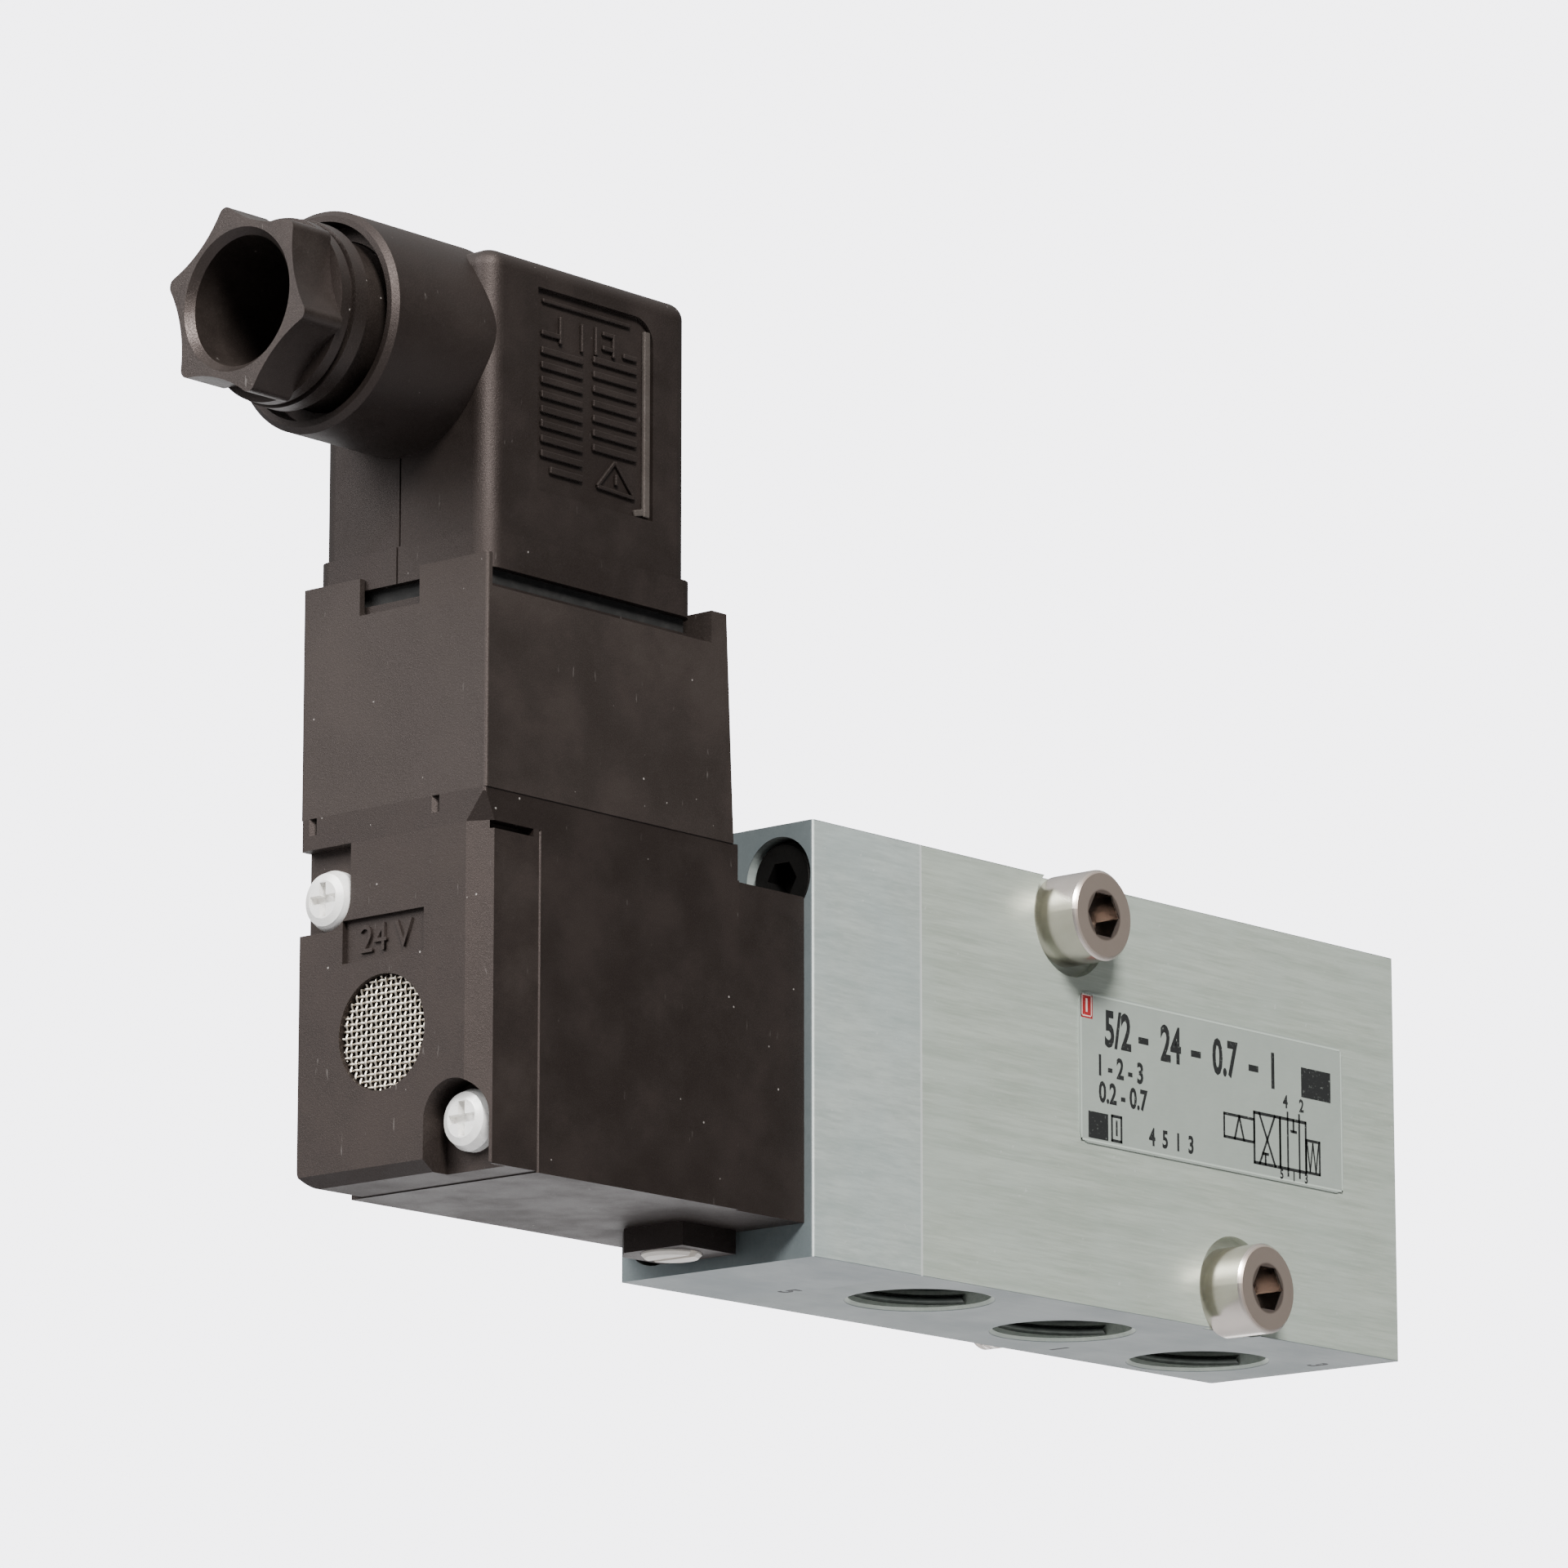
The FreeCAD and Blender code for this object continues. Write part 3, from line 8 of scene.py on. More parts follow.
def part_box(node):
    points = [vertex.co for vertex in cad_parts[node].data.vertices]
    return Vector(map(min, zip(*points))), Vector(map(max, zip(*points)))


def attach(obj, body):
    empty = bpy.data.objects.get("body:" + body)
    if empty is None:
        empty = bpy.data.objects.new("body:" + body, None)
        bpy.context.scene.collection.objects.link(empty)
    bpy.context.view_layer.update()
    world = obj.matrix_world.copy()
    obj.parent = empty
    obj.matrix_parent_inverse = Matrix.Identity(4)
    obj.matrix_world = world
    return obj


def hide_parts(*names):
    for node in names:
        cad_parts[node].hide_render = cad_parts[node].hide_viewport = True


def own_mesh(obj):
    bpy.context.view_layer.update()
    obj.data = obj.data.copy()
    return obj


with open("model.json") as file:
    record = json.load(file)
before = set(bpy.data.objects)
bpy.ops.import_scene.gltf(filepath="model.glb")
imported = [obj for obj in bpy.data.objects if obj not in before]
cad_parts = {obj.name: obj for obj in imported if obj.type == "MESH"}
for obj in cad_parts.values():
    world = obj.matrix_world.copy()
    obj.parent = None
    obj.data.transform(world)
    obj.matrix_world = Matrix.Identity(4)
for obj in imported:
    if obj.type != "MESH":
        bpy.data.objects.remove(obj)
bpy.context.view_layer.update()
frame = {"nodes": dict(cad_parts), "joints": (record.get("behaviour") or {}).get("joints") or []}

MM = 0.001
node = frame["nodes"]


# ---------------------------------------------------------------- aluminium block
# The body is a bar of aluminium, milled, drilled for the bore and ports, then bead blasted and
# clear anodised. A fine horizontal grain from the drawn bar shows through. Its upright edges are
# painted bright as a highlight, its top, underside and ends a deeper blue-grey that is partly their
# own tone and partly painted shade, and its holes near black with painted shade.
class Wire:
    """One output of a finish's nodes. Arithmetic on it adds Math nodes."""

    def __init__(self, finish, socket):
        self.finish = finish
        self.socket = socket

    def maths(self, operation, *values):
        return self.finish.node("ShaderNodeMath", {"operation": operation}, dict(enumerate(values)))

    def __add__(self, other):
        return self.maths("ADD", self, other)

    def __sub__(self, other):
        return self.maths("SUBTRACT", self, other)

    def __rsub__(self, other):
        return self.maths("SUBTRACT", other, self)

    def __mul__(self, other):
        return self.maths("MULTIPLY", self, other)

    __radd__ = __add__
    __rmul__ = __mul__

    def smaller(self, other):
        return self.maths("MINIMUM", self, other)

    def larger(self, other):
        return self.maths("MAXIMUM", self, other)

    def root(self):
        return self.maths("SQRT", self)

    def sine(self):
        return self.maths("SINE", self)

    def sign(self):
        return self.maths("SIGN", self)


class Finish:
    """A material being mixed: constants on its shader, and nodes for what varies over the piece."""

    def __init__(self, name, **constants):
        self.material = bpy.data.materials.new(name)
        self.material.use_nodes = True
        self.tree = self.material.node_tree
        self.shader = self.tree.nodes["Principled BSDF"]
        for socket, value in constants.items():
            self.shader.inputs[socket.replace("_", " ")].default_value = value

    def node(self, kind, settings=None, inputs=None, output=0):
        """Adds a node of any kind: its settings first, then the values or links of its sockets."""
        made = self.tree.nodes.new(kind)
        for name, value in (settings or {}).items():
            setattr(made, name, value)
        for key, value in (inputs or {}).items():
            if isinstance(value, Wire):
                self.tree.links.new(value.socket, made.inputs[key])
            else:
                made.inputs[key].default_value = value
        return Wire(self, made.outputs[output])

    def feed(self, socket, wire):
        self.tree.links.new(wire.socket, self.shader.inputs[socket])

    def place(self, centre, stretch=(1, 1, 1)):
        """Object coordinates in millimetres from a point, stretched along a grain."""
        scale = [value / MM for value in stretch]
        raw = self.node("ShaderNodeTexCoord", output="Object")
        start = [-c * s for c, s in zip(centre, scale)]
        return self.node("ShaderNodeMapping", {}, {"Vector": raw, "Location": start, "Scale": scale})

    def noise(self, place, scale, detail=3.0, rough=0.5):
        values = {"Vector": place, "Scale": scale, "Detail": detail, "Roughness": rough}
        return self.node("ShaderNodeTexNoise", {}, values)

    def between(self, wire, low, high):
        """0 below low, 1 above high, smooth in between."""
        values = {0: wire, 1: low, 2: high}
        return self.node("ShaderNodeMapRange", {"interpolation_type": "SMOOTHSTEP"}, values)

    def mix(self, factor, first, second):
        """A colour between two, each a plain colour or a wire."""
        values = {0: factor, 6: first, 7: second}
        return self.node("ShaderNodeMix", {"data_type": "RGBA"}, values, output=2)

    def parts(self, vector):
        """A vector's X, Y and Z."""
        made = self.node("ShaderNodeSeparateXYZ", {}, {"Vector": vector})
        return [Wire(self, socket) for socket in made.socket.node.outputs]

    def inside(self, name):
        """How far a point lies inside a node's box across X, Y and Z, in millimetres."""
        low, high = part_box(name)
        place = self.place((low + high) / 2)
        reach = self.node("ShaderNodeVectorMath", {"operation": "ABSOLUTE"}, {0: place})
        values = {0: (high - low) / (2 * MM), 1: reach}
        return self.parts(self.node("ShaderNodeVectorMath", {"operation": "SUBTRACT"}, values))

    def emboss(self, height, strength, depth):
        values = {"Height": height, "Strength": strength, "Distance": depth}
        self.feed("Normal", self.node("ShaderNodeBump", {}, values))


def colour(red, green, blue):
    return (red, green, blue, 1.0)


def dress(name, finish):
    """Gives a CAD node its finish."""
    slots = node[name].data.materials
    slots.clear()
    slots.append(finish.material)


def middle(name):
    low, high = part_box(name)
    return (low + high) / 2


# depths in from the faces, in millimetres: a sawn skin that also carries painted shade, an edge given
# a painted highlight, and where a hole's painted shade starts
SKIN = 0.1
EDGE_HIGHLIGHT_DEPTH = 0.2
HOLE_FROM, HOLE_FULL = 1.05, 2.4
NICK_BRIGHT = colour(0.6, 0.62, 0.6)
EDGE_HIGHLIGHT = colour(0.82, 0.84, 0.82)
SAWN_SLATE_AND_SHADE = colour(0.095, 0.118, 0.132)
HOLE_SHADE_BLACK = colour(0.016, 0.019, 0.018)


def anodised(name, piece, pale, deep, cloud, grain=(0.05, 1, 1)):
    """Brushed and anodised aluminium: fine grain along the bar, cloudy stain, small nicks, upright
    edges painted bright as a highlight, the top, underside and end faces a deeper blue-grey that is
    partly their own tone and partly painted shade, and holes painted near black as shade."""
    finish = Finish(name, Metallic=0.4, IOR=1.5)
    centre = middle(piece)
    across_x, across_y, across_z = finish.inside(piece)
    along = finish.place(centre, grain)
    every_way = finish.place(centre)
    hair = finish.noise(along, 5.0, 4.0, 0.7)
    band = finish.noise(along, 0.9, 3.0, 0.6)
    stain = finish.between(finish.noise(every_way, 0.11, 4.0, 0.6), 0.35, 0.7)
    nick = finish.between(finish.noise(every_way, 1.7, 2.0, 0.4), 0.74, 0.79)
    tone = finish.between(hair * 0.55 + band * 0.45, 0.3, 0.7)
    shade = finish.mix(tone, deep, pale)
    shade = finish.mix(stain * 0.35, shade, cloud)
    shade = finish.mix(nick * 0.4, shade, NICK_BRIGHT)
    # the top, underside and end faces: a deeper blue-grey, partly their own tone and partly painted
    # shade
    sawn_and_shade = 1 - finish.between(across_x.smaller(across_z), SKIN / 5, SKIN)
    shade = finish.mix(sawn_and_shade * 0.8, shade, SAWN_SLATE_AND_SHADE)
    # upright edges: a painted highlight, pale where light would catch them
    upright = across_x.larger(across_y)
    edge_highlight = 1 - finish.between(upright, EDGE_HIGHLIGHT_DEPTH / 4, EDGE_HIGHLIGHT_DEPTH)
    shade = finish.mix(edge_highlight * 0.6, shade, EDGE_HIGHLIGHT)
    # points deep inside the block, in holes and recesses: painted shade, near black
    nearest = across_x.smaller(across_y).smaller(across_z)
    hole_shade = finish.between(nearest, HOLE_FROM, HOLE_FULL)
    shade = finish.mix(hole_shade * 0.94, shade, HOLE_SHADE_BLACK)
    finish.feed("Base Color", shade)
    finish.feed("Roughness", 0.36 + hair * 0.16 + stain * 0.06)
    finish.emboss(hair + band * 0.5, 0.25, 0.02 * MM)
    return finish


valve_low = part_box("valve_body")[0]
block_finish = anodised(
    "block_anodised",
    "valve_body",
    colour(0.49, 0.54, 0.475),
    colour(0.355, 0.40, 0.345),
    colour(0.40, 0.46, 0.42),
)
dress("valve_body", block_finish)

# The three ports in the underside are tapped. One thread is a triangular ridge wound round the
# bore; it is made once and copied into each port.
PORTS = {"5": (-22.5, -13.4), "1": (1.1, -11.0), "3": (25.0, -8.3)}
PORT_RADIUS = 6.58 * MM
PORT_PITCH = 1.337 * MM
PORT_DEPTH_OF_THREAD = 0.62 * MM
PORT_TURNS = 6
PORT_LIP = 0.9 * MM
TURN_STEPS = 48


def deselect():
    if bpy.context.mode != "OBJECT":
        bpy.ops.object.mode_set(mode="OBJECT")
    bpy.ops.object.select_all(action="DESELECT")


def take(piece):
    """Makes one piece the only selected and active one."""
    deselect()
    piece.select_set(True)
    bpy.context.view_layer.objects.active = piece


def settle(piece, name):
    """Applies a piece's place, so that its object sits at the origin, and names it."""
    take(piece)
    bpy.ops.object.transform_apply(location=True, rotation=True, scale=True)
    piece.name = name
    piece.data.name = name
    return piece


def join(pieces, name):
    take(pieces[0])
    for piece in pieces:
        piece.select_set(True)
    if len(pieces) > 1:
        bpy.ops.object.join()
    return settle(pieces[0], name)


def copied(piece, shift):
    """A copy of a piece with its own mesh, moved."""
    twin = piece.copy()
    twin.data = piece.data.copy()
    bpy.context.scene.collection.objects.link(twin)
    twin.location = piece.location + Vector(shift)
    return twin


def fit(piece, finish, body):
    """Finishes a new piece: its material and the body it rides on."""
    piece.data.materials.clear()
    piece.data.materials.append(finish.material)
    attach(piece, body)


def wound_thread(radius, crest, pitch, turns, steps):
    """A ridge of thread about the Z axis, rising from the origin: a small section, wound up."""
    deselect()
    section = pitch * 0.36
    bpy.ops.mesh.primitive_circle_add(vertices=4, radius=section, location=(radius, 0, 0))
    ridge = bpy.context.object
    ridge.rotation_euler = (math.pi / 2, 0, 0)
    settle(ridge, "ridge")
    for point in ridge.data.vertices:
        if abs(point.co.z) < pitch * 0.1:
            point.co.x = crest if (point.co.x - radius) * (crest - radius) > 0 else radius
    winding = ridge.modifiers.new("winding", "SCREW")
    winding.screw_offset = pitch
    winding.iterations = turns
    winding.steps = steps
    winding.render_steps = steps
    winding.use_normal_calculate = True
    bpy.ops.object.modifier_apply(modifier="winding")
    bpy.ops.object.mode_set(mode="EDIT")
    bpy.ops.mesh.select_all(action="SELECT")
    bpy.ops.mesh.normals_make_consistent(inside=False)
    bpy.ops.object.mode_set(mode="OBJECT")
    return ridge


THREAD_CREST = PORT_RADIUS - PORT_DEPTH_OF_THREAD
port_thread = wound_thread(PORT_RADIUS + 0.02 * MM, THREAD_CREST, PORT_PITCH, PORT_TURNS, TURN_STEPS)
threads = []
for x, y in PORTS.values():
    threads.append(copied(port_thread, (x * MM, y * MM, valve_low.z + PORT_LIP)))
bpy.data.objects.remove(port_thread)
# the threads are coloured near black as painted shade for the insides of the ports
thread_finish = Finish("thread_painted_shade", Metallic=0.6, Roughness=0.4)
thread_mottle = thread_finish.noise(thread_finish.place(middle("valve_body")), 1.2, 4.0)
THREAD_SHADE_DEEP = colour(0.035, 0.042, 0.038)
THREAD_SHADE_PALE = colour(0.1, 0.115, 0.1)
thread_finish.feed("Base Color", thread_finish.mix(thread_mottle, THREAD_SHADE_DEEP, THREAD_SHADE_PALE))
fit(join(threads, "port_threads"), thread_finish, "valve")

# The ports are numbered on the underside: 5, 1 and 3, stamped after anodising, dark in their hollows.
STAMP_SIZE = 3.0 * MM
STAMP_DEEP = 0.04 * MM
STAMP_BOLD = 0.06 * MM
STAMPS = {"5": (-34.5, -8.0), "1": (9.6, -3.6), "3": (34.4, -15.6)}


def lettered(text, size, centre, turn, depth, squeeze=1.0, weight=0.0):
    """Letters or figures as a thin solid, centred on a point and turned to face outwards. Weight is
    the width added round their outlines."""
    deselect()
    bpy.ops.object.text_add(location=centre, rotation=turn)
    letters = bpy.context.object
    letters.data.body = text
    letters.data.size = size
    letters.data.align_x = "CENTER"
    letters.data.align_y = "CENTER"
    letters.data.extrude = depth / 2
    letters.data.offset = weight
    letters.data.resolution_u = 3
    letters.scale = (squeeze, 1, 1)
    bpy.ops.object.convert(target="MESH")
    return bpy.context.object


stamp_ink = Finish("stamp_hollow", Metallic=0.3, Roughness=0.6)
stamp_mottle = stamp_ink.noise(stamp_ink.place(middle("valve_body")), 3.0, 4.0)
STAMP_DARK = colour(0.02, 0.022, 0.024)
STAMP_PALE = colour(0.06, 0.065, 0.065)
stamp_ink.feed("Base Color", stamp_ink.mix(stamp_mottle, STAMP_DARK, STAMP_PALE))
UNDER = (math.pi, 0, 0)
stamps = []
for number, (x, y) in STAMPS.items():
    at = (x * MM, y * MM, valve_low.z)
    stamps.append(lettered(number, STAMP_SIZE, at, UNDER, STAMP_DEEP, 0.9, STAMP_BOLD))
fit(join(stamps, "port_numbers"), stamp_ink, "valve")


# ---------------------------------------------------------------- spool and its bore
# Inside the block a ground aluminium spool slides in its bore on rubber rings, pushed by an air
# piston at one end and a spring at the other. A plug and a steel ring close the bore.
def turned_metal(name, centre, bright, dull, gloss, lathe=(1, 1, 1)):
    """Machined metal: tool marks and faint stain."""
    finish = Finish(name, Metallic=1.0)
    marks = finish.noise(finish.place(centre, lathe), 7.0, 3.0, 0.6)
    stain = finish.between(finish.noise(finish.place(centre), 0.5, 4.0, 0.6), 0.3, 0.75)
    finish.feed("Base Color", finish.mix(stain * 0.6 + marks * 0.3, bright, dull))
    finish.feed("Roughness", gloss + marks * 0.08 + stain * 0.08)
    finish.emboss(marks, 0.12, 0.01 * MM)
    return finish


def moulded_rubber(name, centre, deep, bloom):
    """Matt rubber with a faint grey bloom and mould texture."""
    finish = Finish(name, Roughness=0.75, Specular_IOR_Level=0.35)
    fine = finish.noise(finish.place(centre), 6.0, 3.0, 0.6)
    dust = finish.between(finish.noise(finish.place(centre), 0.9, 4.0, 0.6), 0.4, 0.8)
    finish.feed("Base Color", finish.mix(dust * 0.7 + fine * 0.2, deep, bloom))
    finish.emboss(fine, 0.3, 0.03 * MM)
    return finish


ALONG_X = (1.0, 0.06, 0.06)
ground_bright = colour(0.78, 0.79, 0.8)
ground_dull = colour(0.6, 0.61, 0.62)
dress(
    "spool",
    turned_metal("spool_ground", middle("spool"), ground_bright, ground_dull, 0.2, ALONG_X),
)
black_rubber = moulded_rubber(
    "black_rubber", middle("spool"), colour(0.006, 0.006, 0.006), colour(0.02, 0.019, 0.018)
)
SEALS = ["spool_seals", "piston_seal", "plug_seal", "core_seal", "poppet_seal", "override_seal"]
for name in SEALS + ["port_seals", "connector_gasket"]:
    dress(name, black_rubber)
gasket_rubber = moulded_rubber(
    "gasket_rubber", middle("pilot_gasket"), colour(0.008, 0.008, 0.008), colour(0.03, 0.03, 0.028)
)
for name in ("end_plate_gasket", "pilot_gasket", "cover_gasket", "gland_grommet"):
    dress(name, gasket_rubber)
spring_steel = turned_metal(
    "spring_steel", middle("return_spring"), colour(0.62, 0.61, 0.6), colour(0.4, 0.39, 0.38), 0.25
)
for name in ("return_spring", "armature_spring", "override_spring"):
    dress(name, spring_steel)
ring_steel = turned_metal(
    "ring_steel", middle("retaining_ring"), colour(0.2, 0.19, 0.18), colour(0.1, 0.095, 0.09), 0.35
)
dress("retaining_ring", ring_steel)
plug_bright = colour(0.62, 0.65, 0.62)
plug_dull = colour(0.48, 0.5, 0.48)
dress(
    "bore_plug",
    turned_metal("plug_turned", middle("bore_plug"), plug_bright, plug_dull, 0.3, ALONG_X),
)


# ---------------------------------------------------------------- pilot end plate
# A thick aluminium plate, cut from the same bar, closes the pilot end. It is held by two sunk cap
# screws, and its grain is blotchier because it was faced with a wider cutter.
plate_finish = anodised(
    "plate_anodised",
    "pilot_end_plate",
    colour(0.50, 0.55, 0.52),
    colour(0.36, 0.41, 0.385),
    colour(0.33, 0.40, 0.41),
    (0.09, 1, 0.8),
)
dress("pilot_end_plate", plate_finish)
zinc_finish = turned_metal(
    "zinc_plate", middle("end_plate_screws"), colour(0.62, 0.62, 0.6), colour(0.42, 0.41, 0.39), 0.28
)
dress("gland_washer", zinc_finish)
# the sunk screws are coloured near black as painted shade for their counterbores
screw_shade_pale = colour(0.06, 0.058, 0.056)
screw_shade_deep = colour(0.02, 0.019, 0.018)
screw_shade_black = turned_metal(
    "screw_shade_black", middle("end_plate_screws"), screw_shade_pale, screw_shade_deep, 0.38
)
dress("end_plate_screws", screw_shade_black)


# ---------------------------------------------------------------- mounting screws and label
# Two M5 socket cap screws clamp the valve to its actuator. They are nickel plated steel, with a
# turned, unknurled head, and the plating is yellower and duller on the end faces.
BOLT_OFF = (12, 16)
SOCKET_WALL = (2.25, 2.5)
SOCKET_DEEP = 2
STUD_START = 9.6
STUD_PITCH = 0.8
NICKEL_BRIGHT = colour(0.76, 0.705, 0.655)
NICKEL_DULL = colour(0.5, 0.44, 0.39)
END_FACE_BROWN = colour(0.27, 0.215, 0.18)
SOCKET_SHADE = colour(0.1, 0.08, 0.07)
nickel_finish = Finish("nickel_plate")
screw_middle = middle("mounting_screws")
head_face = (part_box("mounting_screws")[0].y - screw_middle.y) / MM
lathe_marks = nickel_finish.noise(nickel_finish.place(screw_middle, (0.2, 3.0, 0.2)), 5.0, 3.0, 0.6)
tarnish = nickel_finish.noise(nickel_finish.place(screw_middle), 0.35, 4.0, 0.6)
row_x, row_y, row_z = nickel_finish.parts(nickel_finish.place(screw_middle))
end_face = 1 - nickel_finish.between(row_y, head_face + 0.05, head_face + 0.3)
# the two screws are half a turn apart about the middle, so one screw's axis serves both
half_turn = row_z.sign()
off_x = row_x * half_turn + BOLT_OFF[0]
off_z = row_z * half_turn - BOLT_OFF[1]
from_axis = (off_x * off_x + off_z * off_z).root()
# the inside of each hex socket is darkened as painted shade
near_axis = 1 - nickel_finish.between(from_axis, *SOCKET_WALL)
socket_shade = near_axis * (1 - nickel_finish.between(row_y, -SOCKET_DEEP, 0))
plating = nickel_finish.mix(tarnish * 0.6 + lathe_marks * 0.3, NICKEL_BRIGHT, NICKEL_DULL)
plating = nickel_finish.mix(end_face * 0.85, plating, END_FACE_BROWN)
nickel_finish.feed("Base Color", nickel_finish.mix(socket_shade * 0.85, plating, SOCKET_SHADE))
nickel_finish.feed("Metallic", 1 - end_face * 0.35)
nickel_finish.feed("Roughness", 0.2 + lathe_marks * 0.06 + end_face * 0.12)
on_stud = nickel_finish.between(row_y, STUD_START, STUD_START + 0.3)
turns_of_thread = (row_y * (2 * math.pi / STUD_PITCH)).sine() * on_stud
nickel_finish.emboss(lathe_marks * 0.06 + turns_of_thread, 0.6, 0.12 * MM)
dress("mounting_screws", nickel_finish)

# The rating label is a clear film with a satin back, printed in black and red. Its contents here
# are generic: sizes, port numbers and the symbol of a spring-return 5/2 valve.
LABEL_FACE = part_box("name_label")[0].y
PRINT_DEEP = 0.012 * MM
LINE_WIDE = 0.27
LETTER_WEIGHT = 0.03
FRONT = (math.pi / 2, 0, 0)

film = Finish("label_film", Roughness=0.42, Metallic=0.15)
film_cloud = film.noise(film.place(middle("name_label")), 0.25, 4.0, 0.6)
film_fine = film.noise(film.place(middle("name_label"), (0.2, 1, 1)), 5.0, 2.0)
film_dull = colour(0.26, 0.295, 0.265)
film_pale = colour(0.33, 0.365, 0.335)
film.feed("Base Color", film.mix(film_cloud * 0.7 + film_fine * 0.3, film_dull, film_pale))
film.emboss(film_fine, 0.15, 0.01 * MM)
dress("name_label", film)


def printed_bar(x, z, wide, high):
    """A printed rectangle on the label, from its centre and size in millimetres."""
    deselect()
    at = (x * MM, LABEL_FACE - PRINT_DEEP, z * MM)
    bpy.ops.mesh.primitive_plane_add(size=1, location=at, rotation=FRONT)
    bar = bpy.context.object
    bar.scale = (wide * MM, high * MM, 1)
    return bar


def printed_line(x1, z1, x2, z2, thick=LINE_WIDE):
    """A printed stroke from one point to another."""
    long = math.hypot(x2 - x1, z2 - z1) + thick
    bar = printed_bar((x1 + x2) / 2, (z1 + z2) / 2, long, thick)
    bar.rotation_euler.rotate_axis("Z", math.atan2(z2 - z1, x2 - x1))
    return bar


def printed_box(x, z, wide, high, thick=LINE_WIDE):
    """The outline of a rectangle, from its centre and size in millimetres."""
    left, right = x - wide / 2, x + wide / 2
    low, top = z - high / 2, z + high / 2
    corners = [(left, low), (right, low), (right, top), (left, top)]
    return [printed_line(*a, *b, thick) for a, b in zip(corners, corners[1:] + corners[:1])]


def printed_text(text, x, z, size, squeeze):
    at = (x * MM, LABEL_FACE - PRINT_DEEP / 2, z * MM)
    return lettered(text, size * MM, at, FRONT, PRINT_DEEP, squeeze, size * LETTER_WEIGHT * MM)


def print_ink(name, tint):
    ink = Finish(name, Roughness=0.5)
    wear = ink.between(ink.noise(ink.place(middle("name_label")), 4.0, 3.0), 0.62, 0.75)
    ink.feed("Base Color", ink.mix(wear * 0.4, tint, colour(0.3, 0.33, 0.3)))
    return ink


black_ink = print_ink("label_ink_black", colour(0.012, 0.013, 0.013))
marks = [
    printed_text("5/2", -5.3, 6.35, 4.7, 0.66),
    printed_bar(-1.5, 6.1, 1.5, 0.62),
    printed_text("24", 2.6, 6.15, 4.7, 0.66),
    printed_bar(6.4, 5.95, 1.5, 0.62),
    printed_text("0.7", 10.8, 6.0, 4.7, 0.66),
    printed_bar(15.2, 5.8, 1.5, 0.62),
    printed_text("1", 18.2, 5.8, 4.7, 0.66),
    printed_bar(24.9, 5.5, 4.6, 2.9),
    printed_text("1 - 2 - 3", -5.0, 2.85, 2.7, 0.8),
    printed_text("0.2 - 0.7", -4.6, 0.35, 2.7, 0.8),
    printed_bar(-8.3, -2.8, 2.9, 2.5),
    printed_text("4  5  1  3", 2.6, -2.9, 2.3, 0.8),
]
marks += printed_box(-5.6, -2.75, 1.4, 2.3)
marks.append(printed_line(-5.6, -3.3, -5.6, -2.1))
# the valve symbol: two squares of flow paths, a pilot on the left and a spring on the right
SYMBOL_LOW, SYMBOL_HIGH = -3.2, 1.6
SYMBOL_MIDDLE = (SYMBOL_LOW + SYMBOL_HIGH) / 2
SYMBOL_TALL = SYMBOL_HIGH - SYMBOL_LOW
for x in (17.2, 21.2):
    marks += printed_box(x, SYMBOL_MIDDLE, 4.0, SYMBOL_TALL, 0.3)
marks += printed_box(12.9, -0.2, 4.6, 2.2)
marks += printed_box(24.3, -1.6, 2.1, 3.1)
for x1, z1, x2, z2 in [
    (16.0, -3.2, 18.4, 1.6),
    (18.4, -3.2, 16.0, 1.6),
    (20.4, -3.2, 20.4, 1.6),
    (22.2, 1.6, 22.2, -3.2),
    (16.9, -3.2, 16.9, -2.2),
    (16.5, -2.2, 17.3, -2.2),
    (21.3, 1.6, 21.3, 0.5),
    (20.9, 0.5, 21.7, 0.5),
    (20.4, 1.6, 20.4, 2.2),
    (22.2, 1.6, 22.2, 2.2),
    (20.4, -3.2, 20.4, -3.8),
    (22.2, -3.2, 22.2, -3.8),
    (12.2, -1.3, 12.9, 0.9),
    (12.9, 0.9, 13.6, -1.3),
]:
    marks.append(printed_line(x1, z1, x2, z2))
ZIGZAG_STEP = 0.45
ZIGZAG_LOW, ZIGZAG_HIGH = -3.0, -0.3
for step in range(4):
    x = 23.4 + ZIGZAG_STEP * step
    start, end = (ZIGZAG_LOW, ZIGZAG_HIGH) if step % 2 else (ZIGZAG_HIGH, ZIGZAG_LOW)
    marks.append(printed_line(x, start, x + ZIGZAG_STEP, end, 0.2))
marks.append(printed_text("4", 20.1, 3.2, 1.7, 0.85))
marks.append(printed_text("2", 22.6, 3.1, 1.7, 0.85))
for figure, x in zip("513", (19.4, 21.3, 23.2)):
    marks.append(printed_text(figure, x, -3.85, 1.3, 0.85))
fit(join(marks, "label_print"), black_ink, "valve")

# a small red square with a pale numeral in the label's corner
red_ink = print_ink("label_ink_red", colour(0.28, 0.015, 0.018))
fit(join([printed_bar(-9.9, 8.3, 1.75, 2.35)], "label_red_mark"), red_ink, "valve")
pale_ink = print_ink("label_ink_pale", colour(0.62, 0.5, 0.47))
red_frame = [printed_text("1", -9.9, 8.25, 1.7, 0.9)] + printed_box(-9.9, 8.3, 1.35, 1.95, 0.1)
for piece in red_frame:
    piece.location.y -= PRINT_DEEP
fit(join(red_frame, "label_red_frame"), pale_ink, "valve")

